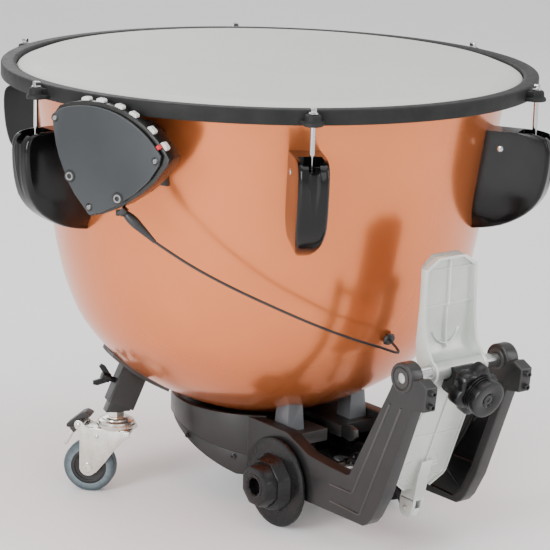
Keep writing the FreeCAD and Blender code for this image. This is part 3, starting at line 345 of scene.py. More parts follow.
def join(bm, other):
    tmp = bpy.data.meshes.new("tmp")
    other.to_mesh(tmp)
    other.free()
    bm.from_mesh(tmp)
    bpy.data.meshes.remove(tmp)
    return bm


def block(bm, centre, size, i=(1, 0, 0), j=(0, 1, 0), k=(0, 0, 1), width=0.8, segs=2):
    c, i, j, k = Vector(centre), Vector(i).normalized(), Vector(j).normalized(), Vector(k).normalized()
    a, b, d = size[0] / 2, size[1] / 2, size[2] / 2
    return prism(bm, [(-a, -b), (a, -b), (a, b), (-a, b)], -d, d, lambda u, v, w: c + i * u + j * v + k * w, width, segs)


def bead(bm, pts, normal, half, height, ends=True):
    """Raised cast rib with a rounded top along pts, standing on a face whose outward normal is given."""
    nrm = Vector(normal).normalized()
    P = [Vector(p) for p in pts]
    rings = []
    m = len(P)
    for s, p in enumerate(P):
        d = (P[min(s + 1, m - 1)] - P[max(s - 1, 0)]).normalized()
        side = nrm.cross(d).normalized()
        k = 1.0
        if 0 < s < m - 1:
            d0 = (P[s] - P[s - 1]).normalized()
            k = 1.0 / max(0.5, d.dot(d0))
        ring = []
        for (u, v) in ((-1.25, -0.4), (-1.0, 0.15), (-0.72, 0.72), (-0.3, 1.0), (0.3, 1.0), (0.72, 0.72), (1.0, 0.15), (1.25, -0.4)):
            ring.append(bm.verts.new(p + side * (u * half * k) + nrm * (v * height)))
        rings.append(ring)
    for a, b in zip(rings[:-1], rings[1:]):
        for s in range(8):
            t = (s + 1) % 8
            bm.faces.new((a[s], b[s], b[t], a[t]))
    bm.faces.new(rings[0])
    bm.faces.new(list(reversed(rings[-1])))
    return bm


def arc(c, r, a0, a1, n, fn):
    return [fn(c[0] + r * math.cos(math.radians(a0 + (a1 - a0) * s / n)), c[1] + r * math.sin(math.radians(a0 + (a1 - a0) * s / n))) for s in range(n + 1)]


def smooth_line(pts, n=8):
    """Catmull-Rom through the points."""
    out = []
    P = [Vector(p) for p in pts]
    P = [P[0] * 2 - P[1]] + P + [P[-1] * 2 - P[-2]]
    for s in range(1, len(P) - 2):
        a, b, c, d = P[s - 1], P[s], P[s + 1], P[s + 2]
        for q in range(n):
            t = q / n
            out.append(0.5 * ((2 * b) + (c - a) * t + (2 * a - 5 * b + 4 * c - d) * t * t + (3 * b - a - 3 * c + d) * t ** 3))
    out.append(P[-2])
    return out


def turned(bm, azimuth):
    bm.transform(Matrix.Rotation(math.radians(azimuth), 4, "Z"))
    return bm


def hexhead(bm, p, d, r, h, spin=0.0):
    i, j, k = axes(d)
    pts = [(r * math.cos(math.radians(60 * s) + spin), r * math.sin(math.radians(60 * s) + spin)) for s in range(6)]
    o = Vector(p)
    return prism(bm, pts, 0, h, lambda a, b, c: o + i * a + j * b + k * c, 0.5, 2)


def socket_head(bm, p, d, r, h, hole=0.5, seg=28):
    """Round head with a round socket sunk in it, from p along d."""
    depth = min(h * 0.7, r * 0.8)
    prof = [(r * 0.98, 0), (r, h * 0.12), (r, h - 0.5), (r - 0.15, h - 0.15), (r - 0.5, h), (r * hole + 0.35, h), (r * hole, h - 0.3), (r * hole, h - depth), (0, h - depth * 1.1)]
    return lathe(bm, [(0, 0)] + prof, p, d, seg)


# ------------------------------------------------------------------ gauge cable, a NURBS tube along the given route
ROUTE = [
    (-322.9, -183.1, 432.0), (-302.0, -207.0, 412.5), (-272.5, -229.5, 391.5), (-238.0, -252.0, 370.5),
    (-199.0, -272.0, 349.5), (-158.0, -288.5, 328.5), (-116.0, -300.5, 309.0), (-76.0, -306.5, 292.5),
    (-42.0, -306.5, 280.0), (-26.0, -306.6, 273.2), (-15.0, -307.0, 268.8), (-7.0, -304.5, 267.0),
    (-3.4, -297.5, 269.0), (-2.6, -289.5, 272.8), (-2.4, -280.92, 277.00)]
curve = bpy.data.curves.new("gauge_cable_v", "CURVE")
curve.dimensions = "3D"
sp = curve.splines.new("NURBS")
sp.points.add(len(ROUTE) - 1)
for s, p in enumerate(ROUTE):
    sp.points[s].co = (p[0] * MM, p[1] * MM, p[2] * MM, 1.0)
sp.order_u = 3
sp.use_endpoint_u = True
sp.resolution_u = 12
curve.bevel_depth = 1.8 * MM
curve.bevel_resolution = 5
curve.use_fill_caps = True
cable = bpy.data.objects.new("gauge_cable_v", curve)
scene.collection.objects.link(cable)
curve.materials.append(MAT["cable_black"])
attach(cable, "root")
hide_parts("gauge_cable")

GEV = Vector((math.cos(math.radians(-158)), math.sin(math.radians(-158)), 0))
GTV = Vector((-GEV.y, GEV.x, 0))
# boot: ribbed strain relief that tapers down to the cable
B0, B1 = Vector((-347.9, -153.4, 465.9)), Vector((-322.9, -183.1, 432.0))
bd = (B1 - B0).normalized()
bl = (B1 - B0).length
bm = bmesh.new()
prof = [(0, 0.3), (4.6, 0.3), (5.2, 0.8), (5.6, 3.0), (6.3, bl * 0.14), (6.8, bl * 0.26), (6.7, bl * 0.33)]
for s in range(7):
    h0 = bl * (0.36 + 0.085 * s)
    rr = 6.5 - 0.55 * s
    prof += [(rr, h0), (rr - 0.1, h0 + 2.0), (rr - 0.5, h0 + 2.5), (rr - 0.55, h0 + 3.3)]
prof += [(2.75, bl * 0.985), (2.5, bl - 0.2), (1.7, bl - 0.1), (0, bl - 0.1)]
lathe(bm, prof, B0, bd, 40)
boot = finish_mesh("cable_boot_v", bm, "cable_black", "root", ("cable_boot",), sharp=40)

# plug shell between the housing and the boot, with its latch
pi, pj, pk = axes(bd)
bm = bmesh.new()
for h0, h1, w0, w1 in ((-9.0, -1.0, 12.6, 10.4), (-1.6, 0.6, 9.0, 8.0)):
    block(bm, B0 + bd * ((h0 + h1) / 2), (w0, w1, h1 - h0), pi, pj, bd, 1.0, 3)
block(bm, B0 - bd * 4.0 + GTV * -8.6 + Vector((0, 0, -2.4)), (4.4, 5.0, 7.6), GTV, GEV, (0, 0, 1), 0.7, 2)
block(bm, B0 - bd * 4.6 + GTV * -5.4, (6.0, 4.4, 3.4), GTV, GEV, (0, 0, 1), 0.7, 2)
finish_mesh("gauge_plug_v", bm, "gauge_black", "root", ("gauge_plug",), merge=False)

# ------------------------------------------------------------------ booleans on helper meshes
def boolean(bm_a, cutters, op="DIFFERENCE"):
    me = bpy.data.meshes.new("bool_a")
    bmesh.ops.recalc_face_normals(bm_a, faces=bm_a.faces)
    bm_a.to_mesh(me)
    bm_a.free()
    a = bpy.data.objects.new("bool_a", me)
    scene.collection.objects.link(a)
    others = []
    for c in cutters:
        mc = bpy.data.meshes.new("bool_b")
        bmesh.ops.recalc_face_normals(c, faces=c.faces)
        c.to_mesh(mc)
        c.free()
        b = bpy.data.objects.new("bool_b", mc)
        scene.collection.objects.link(b)
        m = a.modifiers.new("b", "BOOLEAN")
        m.operation = op
        m.solver = "EXACT"
        m.object = b
        others.append(b)
    dg = bpy.context.evaluated_depsgraph_get()
    dg.update()
    out = bmesh.new()
    res = a.evaluated_get(dg).to_mesh()
    out.from_mesh(res)
    a.evaluated_get(dg).to_mesh_clear()
    for o in others + [a]:
        bpy.data.objects.remove(o)
    bmesh.ops.remove_doubles(out, verts=out.verts, dist=0.003)
    return out


def prism_bm(pts, lo, hi, place, width=0.0, segs=2):
    return prism(bmesh.new(), pts, lo, hi, place, width, segs)


def yz(a, b, c):
    return Vector((c, a, b))


def radial(a, b, c):
    return Vector((a, c, b))


def loft(bm, sections, caps=True, closed=True):
    rings = [[bm.verts.new(Vector(p)) for p in sec] for sec in sections]
    n = len(rings[0])
    for a, b in zip(rings[:-1], rings[1:]):
        for q in range(n if closed else n - 1):
            t = (q + 1) % n
            bm.faces.new((a[q], b[q], b[t], a[t]))
    if caps:
        bm.faces.new(rings[0])
        bm.faces.new(list(reversed(rings[-1])))
    return bm


ROD_AZ = [-120.0, -60.0, 0.0, 60.0, 120.0, 180.0]

# ------------------------------------------------------------------ bowl, head and hoops
PROFILE = [(331.0, 612.0), (330.6, 593.0), (323.9, 544.1), (317.2, 495.1), (310.5, 446.2), (303.3, 397.2),
           (294.5, 348.3), (281.5, 299.3), (259.0, 250.4), (217.6, 201.4), (180.0, 173.6), (141.2, 152.5),
           (82.1, 128.0), (40.0, 119.6), (12.2, 117.3)]
outer = [(v[0], v[1]) for v in smooth_line([(r, z, 0) for r, z in PROFILE], 7)]
inner = []
for q, (r, z) in enumerate(outer):
    r0, z0 = outer[max(q - 1, 0)]
    r1, z1 = outer[min(q + 1, len(outer) - 1)]
    d = Vector((r1 - r0, z1 - z0)).normalized()
    inner.append((r + d.y * 3.2, z - d.x * 3.2))
inner = [(min(r, 327.8), z) for r, z in inner]
bm = bmesh.new()
lip = [(327.9, 611.6), (328.6, 612.9), (329.6, 613.2), (330.6, 612.9)]
lathe(bm, lip + outer + list(reversed(inner)), seg=240, closed=True)
finish_mesh("bowl_v", bm, "bowl_copper", "root", ("bowl",), sharp=45)

bm = bmesh.new()
lathe(bm, [(0, 616.2), (60, 616.2), (180, 616.2), (300, 616.2), (329.4, 616.2), (330.6, 616.1), (331.8, 615.7), (334.0, 614.9),
           (340.0, 612.6), (346.0, 610.2), (350.4, 608.5), (351.8, 607.4), (352.2, 606.0), (352.0, 604.6), (350.6, 604.8),
           (349.4, 606.4), (345.0, 608.4), (339.0, 610.8), (333.5, 613.4), (331.0, 615.2), (329.4, 615.7), (180, 615.8), (0, 615.8)], seg=240)
finish_mesh("drumhead_v", bm, "head_film", "root", ("drumhead",), sharp=50)

bm = bmesh.new()
rim = [(354.0, 594.2), (354.3, 593.4), (355.2, 593.0), (373.2, 593.0), (374.4, 593.5), (375.0, 594.8), (375.0, 610.6),
       (374.6, 612.0), (373.6, 612.8), (372.2, 613.0), (358.4, 613.0), (357.4, 612.8), (356.6, 612.2), (355.6, 611.9), (354.6, 611.5), (354.0, 610.6)]
lathe(bm, rim, seg=240, closed=True)
finish_mesh("counterhoop_v", bm, "hoop_black", "hoop", ("counterhoop",), sharp=40)

# ears: a flanged boss round each rod, with its web back to the hoop
bm = bmesh.new()
for az in ROD_AZ:
    sub = bmesh.new()
    lathe(sub, [(3.75, 609.3), (7.4, 609.4), (8.6, 609.0), (9.6, 607.8), (10.1, 605.4), (10.5, 601.6), (11.6, 600.2), (12.6, 599.6), (13.1, 598.4),
                (13.1, 596.0), (12.4, 595.0), (11.0, 594.6), (3.75, 594.6)], (386, 0, 0), seg=48, closed=True)
    prism(sub, [(371, -15.5), (381, -15.5), (386, -12.6), (386, 12.6), (381, 15.5), (371, 15.5)], 595.2, 600.6, lambda a, b, c: Vector((a, b, c)), 1.4, 3)
    prism(sub, [(371, -9.6), (384, -8.8), (384, 8.8), (371, 9.6)], 599.6, 608.6, lambda a, b, c: Vector((a, b, c)), 1.4, 3)
    join(bm, turned(sub, az))
finish_mesh("hoop_ears_v", bm, "hoop_black", "hoop", ("hoop_ears",), merge=False)

# tension rods: square head on a round collar, ground stem, cut thread on the lower half
for q, az in enumerate(ROD_AZ):
    bm = bmesh.new()
    prof = [(0, 475.5), (2.6, 475.5), (3.0, 476.2)]
    z = 476.4
    while z < 536:
        prof += [(3.34, z), (2.98, z + 0.85)]
        z += 1.7
    prof += [(3.1, 538.0), (3.12, 558.0), (3.34, 559.0), (3.35, 609.9), (5.6, 609.9), (6.1, 610.2), (6.2, 610.7), (5.9, 611.3), (5.2, 611.6),
             (4.4, 611.8), (4.2, 612.2), (0, 612.2)]
    lathe(bm, prof, (386, 0, 0), seg=32)
    block(bm, (386, 0, 614.6), (7.2, 7.2, 5.4), width=0.6, segs=3)
    lathe(bm, [(2.9, 617.2), (2.5, 617.45), (0, 617.6)], (386, 0, 0), seg=24)
    turned(bm, az)
    finish_mesh("tension_rod_%d_v" % (q + 1), bm, "rod_chrome", "rod_%d" % (q + 1), ("tension_rod_%d" % (q + 1),), merge=False)

# ------------------------------------------------------------------ lug casings
FRONT = [(306, 411.6), (320, 413.6), (334, 416.6), (348, 420.8), (362, 427.2), (374, 434.2), (384, 441.4), (392.5, 449.6),
         (399.0, 458.2), (404.0, 467.0), (407.6, 478.0), (410.4, 490.0), (412.2, 503.0), (413.2, 516.0), (413.4, 527.0),
         (412.9, 535.0), (411.6, 540.6), (409.4, 544.6), (406.0, 547.6), (401.5, 549.8), (396.0, 551.2), (388.0, 552.4)]
HALF = 20.0
sections = []
nf = len(FRONT)
for q, (r, z) in enumerate(FRONT):
    t = q / (nf - 1)
    bz = 436.0 + (553.8 - 436.0) * min(1.0, max(0.0, (z - 436.0) / 117.8)) if z > 436 else 436.0 - (436.0 - z) * 0.55
    br = 300.0 + (bz - 410.0) * 0.135
    w = HALF if z > 472 else HALF * math.sqrt(max(0.0, 1 - ((472 - z) / 61.5) ** 2))
    w = max(w, 2.5)
    w *= 1.0 - 0.03 * max(0.0, (470 - z) / 60)
    F, Bk = Vector((r, 0, z)), Vector((br, 0, bz))
    d = (F - Bk)
    L = d.length
    d.normalize()
    rho = min(6.5, w * 0.6, L * 0.4)
    ring = []
    for sgn in (1, -1):
        arcp = []
        for k in range(7):
            a = math.radians(90 * k / 6)
            arcp.append((L - rho + rho * math.sin(a), w - rho + rho * math.cos(a)))
        line = [(0.0, w * 1.03), (L * 0.33, w * 1.025), (L * 0.66, w * 1.01)] + arcp
        g = min(1.0, max(0.0, (z - 462.0) / 78.0))
        g = g * g * (3 - 2 * g) * (1.0 - 0.75 * min(1.0, max(0.0, (z - 530.0) / 14.0)))
        sc = min(0.45 + 0.55 * g, (w - rho) / 13.0)
        line += [(L + e * g, v * sc) for v, e in ((12, 0.0), (10.2, 0.35), (9.0, 0.9), (8.0, 0.9), (7.0, 0.2), (6.0, -0.9), (4.8, -1.8), (3.4, -2.4), (1.7, -2.75))]
        pts = [Bk + d * u + Vector((0, 1, 0)) * (v * sgn) for u, v in line]
        ring += pts if sgn == 1 else list(reversed(pts))
    sections.append(ring)
case = loft(bmesh.new(), sections)
cutters = [
    prism_bm([(-15.5, -19), (-15.5, 19), (15.5, 19), (15.5, -19)], 538.0, 575.0, lambda a, b, c: Vector((385.5 + b, a, c)), 2.6, 3),
    prism_bm([(7.4, 565), (7.4, 544)] + [(7.4 * math.cos(math.radians(a)), 543.0 + 6.0 * math.sin(math.radians(a))) for a in range(0, -181, -15)] + [(-7.4, 565)],
             398.0, 425.0, lambda a, b, c: Vector((c, a, b))),
    rod(bmesh.new(), (386, 0, 500), (386, 0, 560), 5.6, 0.3, 24),
]
case = boolean(case, cutters)
bm = bmesh.new()
for az in ROD_AZ:
    c = case.copy()
    join(bm, turned(c, az))
case.free()
finish_mesh("lug_casings_v", bm, "casing_black", "root", ("lug_casings",), sharp=34)

bm = bmesh.new()
for az in ROD_AZ:
    sub = bmesh.new()
    for sgn in (-1, 1):
        o, d = (345, sgn * 20.3, 529), (0, sgn, 0)
        lathe(sub, [(0, -0.4), (4.6, -0.4), (4.6, 0.3), (4.2, 0.9), (3.2, 1.3), (1.9, 1.4), (1.7, 0.6), (0, 0.4)], o, d, 28)
    join(bm, turned(sub, az))
finish_mesh("casing_screws_v", bm, "rod_chrome", "root", ("casing_screws",))

# ------------------------------------------------------------------ pedal
SY, SZ = -408.0, 271.0


def eye(cy, cz, r, a0, a1, n=10):
    return [(cy + r * math.cos(math.radians(a0 + (a1 - a0) * q / n)), cz + r * math.sin(math.radians(a0 + (a1 - a0) * q / n))) for q in range(n + 1)]


bm = bmesh.new()
# side walls of the upper half, with the eye round the shaft
WALL = [(-393.2, 404.0), (-393.4, 360.0), (-394.4, 335.0), (-397.2, 314.0), (-402.6, 298.0), (-410.5, 287.0)] +        eye(SY, SZ, 14.4, 108, 330, 14) + [(-388.0, 270.0), (-380.6, 284.0), (-378.4, 304.0), (-380.2, 330.0), (-382.4, 356.0), (-383.2, 404.0)]
for sgn in (-1, 1):
    prism(bm, WALL, 41.0, 45.4, lambda a, b, c, k=sgn: Vector((k * c, a, b)), 1.1, 2)
# rim across the top with its clipped corners
for sgn in (-1, 1):
    prism(bm, [(45.4, 402.5), (23.0, 417.0), (21.0, 413.0), (41.4, 399.5)], -393.2, -383.2, lambda a, b, c, k=sgn: Vector((k * a, c, b)), 1.0, 2)
prism(bm, [(-23.5, 417.0), (23.5, 417.0), (21.8, 413.0), (-21.8, 413.0)], -393.2, -383.2, lambda a, b, c: Vector((a, c, b)), 1.0, 2)
# web: flat above, scooped forward to the shaft below
web_pts = [(-386.0, 415.0), (-386.0, 372.0), (-386.0, 345.0), (-385.6, 322.0), (-386.2, 306.0), (-389.4, 294.0), (-394.5, 286.8), (-402.0, 283.2), (-408.0, 282.6)]
web = smooth_line([(0, a, b) for a, b in web_pts], 5)
rows = []
for q, p in enumerate(web):
    hw = 43.0
    if p.z > 402:
        hw = 43.0 - (p.z - 402) * 1.5
    rows.append([Vector((-hw + 2 * hw * k / 16, p.y + (1.2 * math.cos(math.pi * (k / 16 - 0.5)) if p.z < 330 else 1.2 * math.cos(math.pi * (k / 16 - 0.5)) * max(0, (372 - p.z) / 42)), p.z)) for k in range(17)])
ring = []
for q, row in enumerate(rows):
    d = (web[min(q + 1, len(web) - 1)] - web[max(q - 1, 0)]).normalized()
    nrm = Vector((0, -d.z, d.y))
    if nrm.y < 0:
        nrm = -nrm
    ring.append(row + [v + nrm * 2.4 for v in reversed(row)])
loft(bm, ring)
# ribs on the upper half
for pts, hw, hh in (
        ([(0.8, -385.6, 413), (0.8, -385.6, 356), (0.4, -385.6, 351)], 1.4, 4.2),
        ([(-1.6, -385.4, 349), (-1.8, -384.4, 326), (-2.0, -384.8, 308), (-2.2, -388.6, 295)], 1.5, 4.6),
        ([(-41, -385.8, 352), (41, -385.8, 353)], 1.0, 2.6),
        ([(-41, -385.8, 400), (41, -385.8, 400)], 1.0, 2.6)):
    bead(bm, pts, (0, -1, 0), hw, hh)
arcp = [(-1.0 + 24 * math.cos(math.radians(a)), 0, 326 + 26 * math.sin(math.radians(a))) for a in range(-158, -17, 10)]
bead(bm, [(x, -384.4 - (0.0 if z > 308 else (308 - z) * 0.5), z) for x, _, z in arcp], (0, -0.95, 0.2), 1.5, 2.6)
# tube on the shaft
lathe(bm, [(9.62, -45.2), (9.62, 45.2), (14.0, 45.2), (14.4, 44.6), (14.4, 41.6), (13.9, 41.0), (12.4, 40.4), (12.2, 39.6), (12.2, -39.6),
           (12.4, -40.4), (13.9, -41.0), (14.4, -41.6), (14.4, -44.6), (14.0, -45.2)], (0, SY, SZ), (1, 0, 0), 48, closed=True)
# lower half: leaning plate; s runs down the plate, n out of its face
LD = Vector((0, 0.3582, -0.9337))
LN = Vector((0, -0.9337, -0.3582))
L0 = Vector((0, -407.0, 255.0))


def low(x, s_, n_=0.0):
    return L0 + Vector((x, 0, 0)) + LD * s_ + LN * n_


prism(bm, [(-45, -2), (45, -2), (45, 158), (42, 164), (23, 179.5), (18, 181), (-18, 181), (-23, 179.5), (-42, 164), (-45, 158)], -5.4, -0.6,
      lambda a, b, c: low(a, b, c), 1.0, 2)
for sgn in (-1, 1):
    prism(bm, [(45.2, -6), (45.2, 158.4), (42.0, 165), (23.2, 180.4), (21.2, 177.8), (39.6, 162.6), (42.4, 157), (42.4, -6)], -6.0, 1.8,
          lambda a, b, c, k=sgn: low(k * a, b, c), 0.7, 2)
for pts, hw, hh in (
        ([low(0, 4), low(0, 150)], 1.5, 2.6),
        ([low(-42, 88), low(42, 90)], 1.0, 1.9),
        ([low(-34, 30), low(-38, 60)], 0.9, 1.4)):
    bead(bm, [p - LN * 0.7 for p in pts], LN, hw, hh)
# raised curved marks near the lower end
bead(bm, [low(-22 + 20 * math.cos(math.radians(a)), 146 + 14 * math.sin(math.radians(a)), -0.8) for a in range(185, 281, 12)], LN, 1.0, 1.3)
bead(bm, [low(12 + 12 * math.cos(math.radians(a)), 136 + 8 * math.sin(math.radians(a)), -0.8) for a in range(262, 356, 12)], LN, 1.0, 1.3)
bead(bm, [low(10, 146, -0.8), low(24, 144.5, -0.8)], LN, 0.8, 1.1)
bead(bm, [low(12, 139, -0.8), low(22, 138, -0.8)], LN, 0.8, 1.1)
bead(bm, smooth_line([low(-41, 160, -0.8), low(-28, 158, -0.8), low(-20, 163, -0.8), low(-14, 172, -0.8)], 5), LN, 1.2, 1.6)
bead(bm, smooth_line([low(41, 158, -0.8), low(32, 163, -0.8), low(24, 162, -0.8), low(17, 170, -0.8)], 5), LN, 1.2, 1.6)
# clevis lever: stem on the plate, two cheeks and a bridge round the slot
STEM = [(-363.4, 130.0), (-355.6, 104.0), (-350.6, 76.0), (-349.2, 70.0), (-322.6, 70.0), (-324.5, 82.0), (-336.0, 106.0), (-348.0, 132.0)]
prism(bm, STEM, -9.6, 9.6, yz, 1.0, 2)
CHEEK = [(-350.0, 73.0)] + [(-347.2, 60.0), (-344.6, 49.0), (-341.0, 45.0)] + eye(-333, 57, 12.4, 252, 375, 10) + [(-321.8, 73.0)]
prism(bm, CHEEK, -9.6, -4.2, yz, 0.8, 2)
prism(bm, CHEEK, 4.2, 9.6, yz, 0.8, 2)
prism(bm, [(-347.0, 59.0), (-344.4, 47.0), (-342.2, 46.0), (-343.6, 56.0)], -4.6, 4.6, yz, 0.4, 1)
finish_mesh("pedal_v", bm, "pedal_silver", "pedal", ("pedal",), sharp=34)
# tread pad on the player's side of the upper half
bm = bmesh.new()
PADO = [(-39, 306), (39, 306), (39, 404), (22, 421.5), (-22, 421.5), (-39, 404)]
prism(bm, [(x, min(z, 419.0)) for x, z in PADO], -383.0, -375.4, lambda a, b, c: Vector((a, c, b)), 1.6, 3)
for q in range(8):
    block(bm, (0, -375.6, 318 + q * 12), (62, 3.4, 1.1), (1, 0, 0), (0, 0, 1), (0, 1, 0), 0.5, 2)
finish_mesh("pedal_pad_v", bm, "pad_grey", "pedal", (), sharp=34)

# ------------------------------------------------------------------ knob, hub and arms
KA = math.radians(16.0)
K = Vector((0, -math.cos(KA), -math.sin(KA)))
K0 = Vector((0, -408.0, 261.5))
bm = bmesh.new()
prism(bm, [(-425.2, 277.5), (-433.0, 270.0), (-438.0, 246.0), (-425.0, 238.0), (-406.0, 243.0), (-397.0, 252.5), (-402.6, 258.6)] + eye(SY, SZ, 12.7, 290, 150, 9)[1:], -19, 19, yz, 1.2, 2)
rod(bm, K0 + K * 14.0, K0 + K * 25.4, 17.0, 1.2, 40)
rod(bm, K0 + K * 20.0, K0 + K * 25.6, 21.0, 1.4, 40)
finish_mesh("knob_hub_v", bm, "knob_black", "pedal", ("knob_hub",), sharp=34)

ki, kj, kk = axes(K)
bm = bmesh.new()


def lobed(h, base, amp, phase=0.35):
    return [K0 + K * h + (ki * math.cos(a) + kj * math.sin(a)) * (base + amp * (0.5 + 0.5 * math.cos(6 * (a - phase))) ** 0.75)
            for a in [2 * math.pi * q / 144 for q in range(144)]]


loft(bm, [lobed(26.0, 18, 2), lobed(26.2, 25.0, 6.5), lobed(27.6, 27.6, 7.4), lobed(30.0, 28.6, 7.4), lobed(42.0, 28.4, 7.2), lobed(45.4, 27.4, 6.6),
          lobed(47.2, 25.4, 5.0), lobed(47.6, 22, 1.0)])
prof = [(20, 47.2), (24.5, 47.4), (25.4, 48.2), (25.6, 49.6), (25.4, 50.6), (23.6, 51.2), (23.6, 52.4), (25.6, 53.0), (26.0, 54.0), (25.8, 55.2), (24.2, 55.8), (24.2, 57.0),
        (25.8, 57.6), (26.0, 58.6), (26.0, 65.6), (25.5, 67.2), (24.2, 67.9), (21.0, 68.0), (11.2, 68.0), (10.4, 67.6), (9.9, 66.6), (7.4, 65.2), (0, 65.2)]
lathe(bm, prof, K0, K, 96)
finish_mesh("pedal_knob_v", bm, "knob_black", "knob", ("pedal_knob",), sharp=38)
bm = bmesh.new()
lathe(bm, [(0, 65.0), (6.6, 65.2), (6.9, 66.2), (6.2, 67.0), (3.6, 67.3), (3.3, 66.8), (2.9, 65.8), (0, 65.6)], K0, K, 32)
finish_mesh("knob_screw_v", bm, "screw_dark", "knob", ())

for side, s_ in (("left", -1), ("right", 1)):
    bm = soften(cad_bm("arm_" + side), 2.2, 3)
    xo = s_ * 93.0
    nx = (s_, 0, 0)
    for pts in ([(-274, 89.6), (-317.5, 90.0), (-321.2, 92.6), (-387.6, 231.4)],
                [(-275, 66.5), (-332.0, 64.6), (-336.4, 66.2), (-339.4, 71.0), (-409.5, 231.0)]):
        bead(bm, [(xo, a, b) for a, b in pts], nx, 1.5, 1.5)
    # inner face: cast border and diagonal brace, drawn as a thin glossy-black plate with black beads: painted shade of
    # the cast pocket
    xi = s_ * 73.5
    ni = (-s_, 0, 0)
    brd = [(-396, 234), (-352, 152), (-318, 99), (-290, 96), (-290, 62), (-338, 60), (-352, 74), (-372, 112), (-416, 232), (-396, 234)]
    pocket_shade = bmesh.new()
    bead(pocket_shade, [(xi, a, b) for a, b in brd], ni, 1.6, 1.8)
    for pts in ([(-405, 205), (-378, 192)], [(-410, 222), (-370, 176)], [(-352, 74), (-318, 98)], [(-372, 118), (-330, 118)]):
        bead(pocket_shade, [(xi, a, b) for a, b in pts], ni, 1.4, 1.6)
    prism(pocket_shade, [(-397, 229), (-353.5, 150), (-319.5, 101), (-292, 94.5), (-292, 64), (-337, 62.4), (-350, 75.4), (-370, 113), (-413, 229)],
          73.5 - 0.5, 73.5 + 0.6, lambda a, b, c, q=s_: Vector((q * c, a, b)), 0.2, 1)
    finish_mesh("arm_pocket_%s_v" % side, pocket_shade, "casing_black", "root", (), merge=False)
    # boss face: stepped ring round the shaft end
    lathe(bm, [(7.0, -0.6), (7.0, 1.0), (7.6, 1.5), (13.2, 1.5), (13.8, 1.1), (14.0, 0.5), (15.2, 0.5), (15.4, 1.1), (16.0, 1.6), (18.6, 1.6), (19.6, 1.2), (20.0, 0.2), (19.8, -0.6)],
          (xo, SY, SZ), nx, 56, closed=True)
    lathe(bm, [(9.7, -0.4), (9.7, 1.4), (10.2, 1.9), (14.0, 1.9), (14.6, 1.4), (14.8, -0.4)], (xi, SY, SZ), ni, 48, closed=True)
    finish_mesh("arm_%s_v" % side, bm, "frame_grey", "root", ("arm_" + side,), sharp=34)

bm = bmesh.new()
rod(bm, (-93.4, SY, SZ), (93.4, SY, SZ), 9.5, 1.0, 56)
finish_mesh("pedal_shaft_v", bm, "shaft_steel", "root", ("pedal_shaft",))

# fasteners of the frame: cover bolts on the seam, socket screws in the clamp blocks
bm = bmesh.new()
for sgn in (-1, 1):
    for y in (-2.0, -76.0):
        x = math.sqrt(130.0 ** 2 - y * y)
        z = 98.5 + 0.207 * y - 7
        d = Vector((sgn * x, y, 0)).normalized()
        rod(bm, Vector((sgn * x, y, z)) - d * 0.6, Vector((sgn * x, y, z)) + d * 1.0, 5.0, 0.4, 28)
        socket_head(bm, Vector((sgn * x, y, z)) + d * 0.8, d, 3.4, 3.4)
    for (y, z) in ((-455.2, 261.0), (-453.4, 243.0)):
        d = Vector((0, -0.997, -0.08)).normalized()
        p0 = Vector((sgn * 83.25, y, z))
        rod(bm, p0 - d * 0.8, p0 + d * 0.9, 5.4, 0.4, 28)
        socket_head(bm, p0 + d * 0.7, d, 4.3, 5.0)
        rod(bm, p0 + d * 0.5, p0 + d * 3.0, 4.4, 0.3, 24)
finish_mesh("frame_screws_v", bm, "screw_dark", "root", ("frame_screws",))

# ------------------------------------------------------------------ front wheels
for side, s_ in (("left", -1), ("right", 1)):
    c = Vector((0, -166, 63))

    def oct_ring(x, r, cham=0.16):
        pts = []
        for k in range(8):
            a0 = math.radians(22.5 + 45 * k)
            p = Vector((math.cos(a0), math.sin(a0)))
            for e in (-1, 1):
                a1 = math.radians(22.5 + 45 * (k + e))
                q2 = Vector((math.cos(a1), math.sin(a1)))
                m = p.lerp(q2, cham * 0.5)
                pts.append(Vector((s_ * x, c.y + m.x * r, c.z + m.y * r)))
        return pts
    bm = bmesh.new()
    lathe(bm, [(8.1, 97.5), (60.0, 97.5), (62.0, 97.9), (63.0, 99.0), (63.0, 101.2), (62.4, 102.6), (61.0, 103.3), (56.0, 103.5), (44.0, 104.0), (8.1, 104.0)], (0, c.y, c.z), (s_, 0, 0), 96, closed=True)
    loft(bm, [oct_ring(102.0, 42), oct_ring(105.0, 42), oct_ring(107.0, 40.6), oct_ring(120.0, 36.2), oct_ring(121.5, 34.6)])
    hub = [oct_ring(121.0, 32.5), oct_ring(133.6, 30.2), oct_ring(137.2, 28.0), oct_ring(138.0, 26.2)]
    bore = [[Vector((s_ * x, c.y + r * math.cos(math.atan2(q.z - c.z, q.y - c.y)), c.z + r * math.sin(math.atan2(q.z - c.z, q.y - c.y)))) for q in hub[-1]]
            for x, r in ((138.2, 16.0), (137.0, 12.5), (124.0, 12.4))]
    loft(bm, hub + bore)
    body = bm
    lathe(body, [(17.6, 137.6), (17.2, 138.7), (15.4, 138.9), (13.6, 138.5), (12.6, 137.2), (12.3, 126.0), (14.0, 125.0), (17.6, 125.0)], (0, c.y, c.z), (s_, 0, 0), 56, closed=True)
    finish_mesh("front_wheel_%s_v" % side, body, "knob_black", "front_wheel_" + side, ("front_wheel_" + side,), sharp=30)

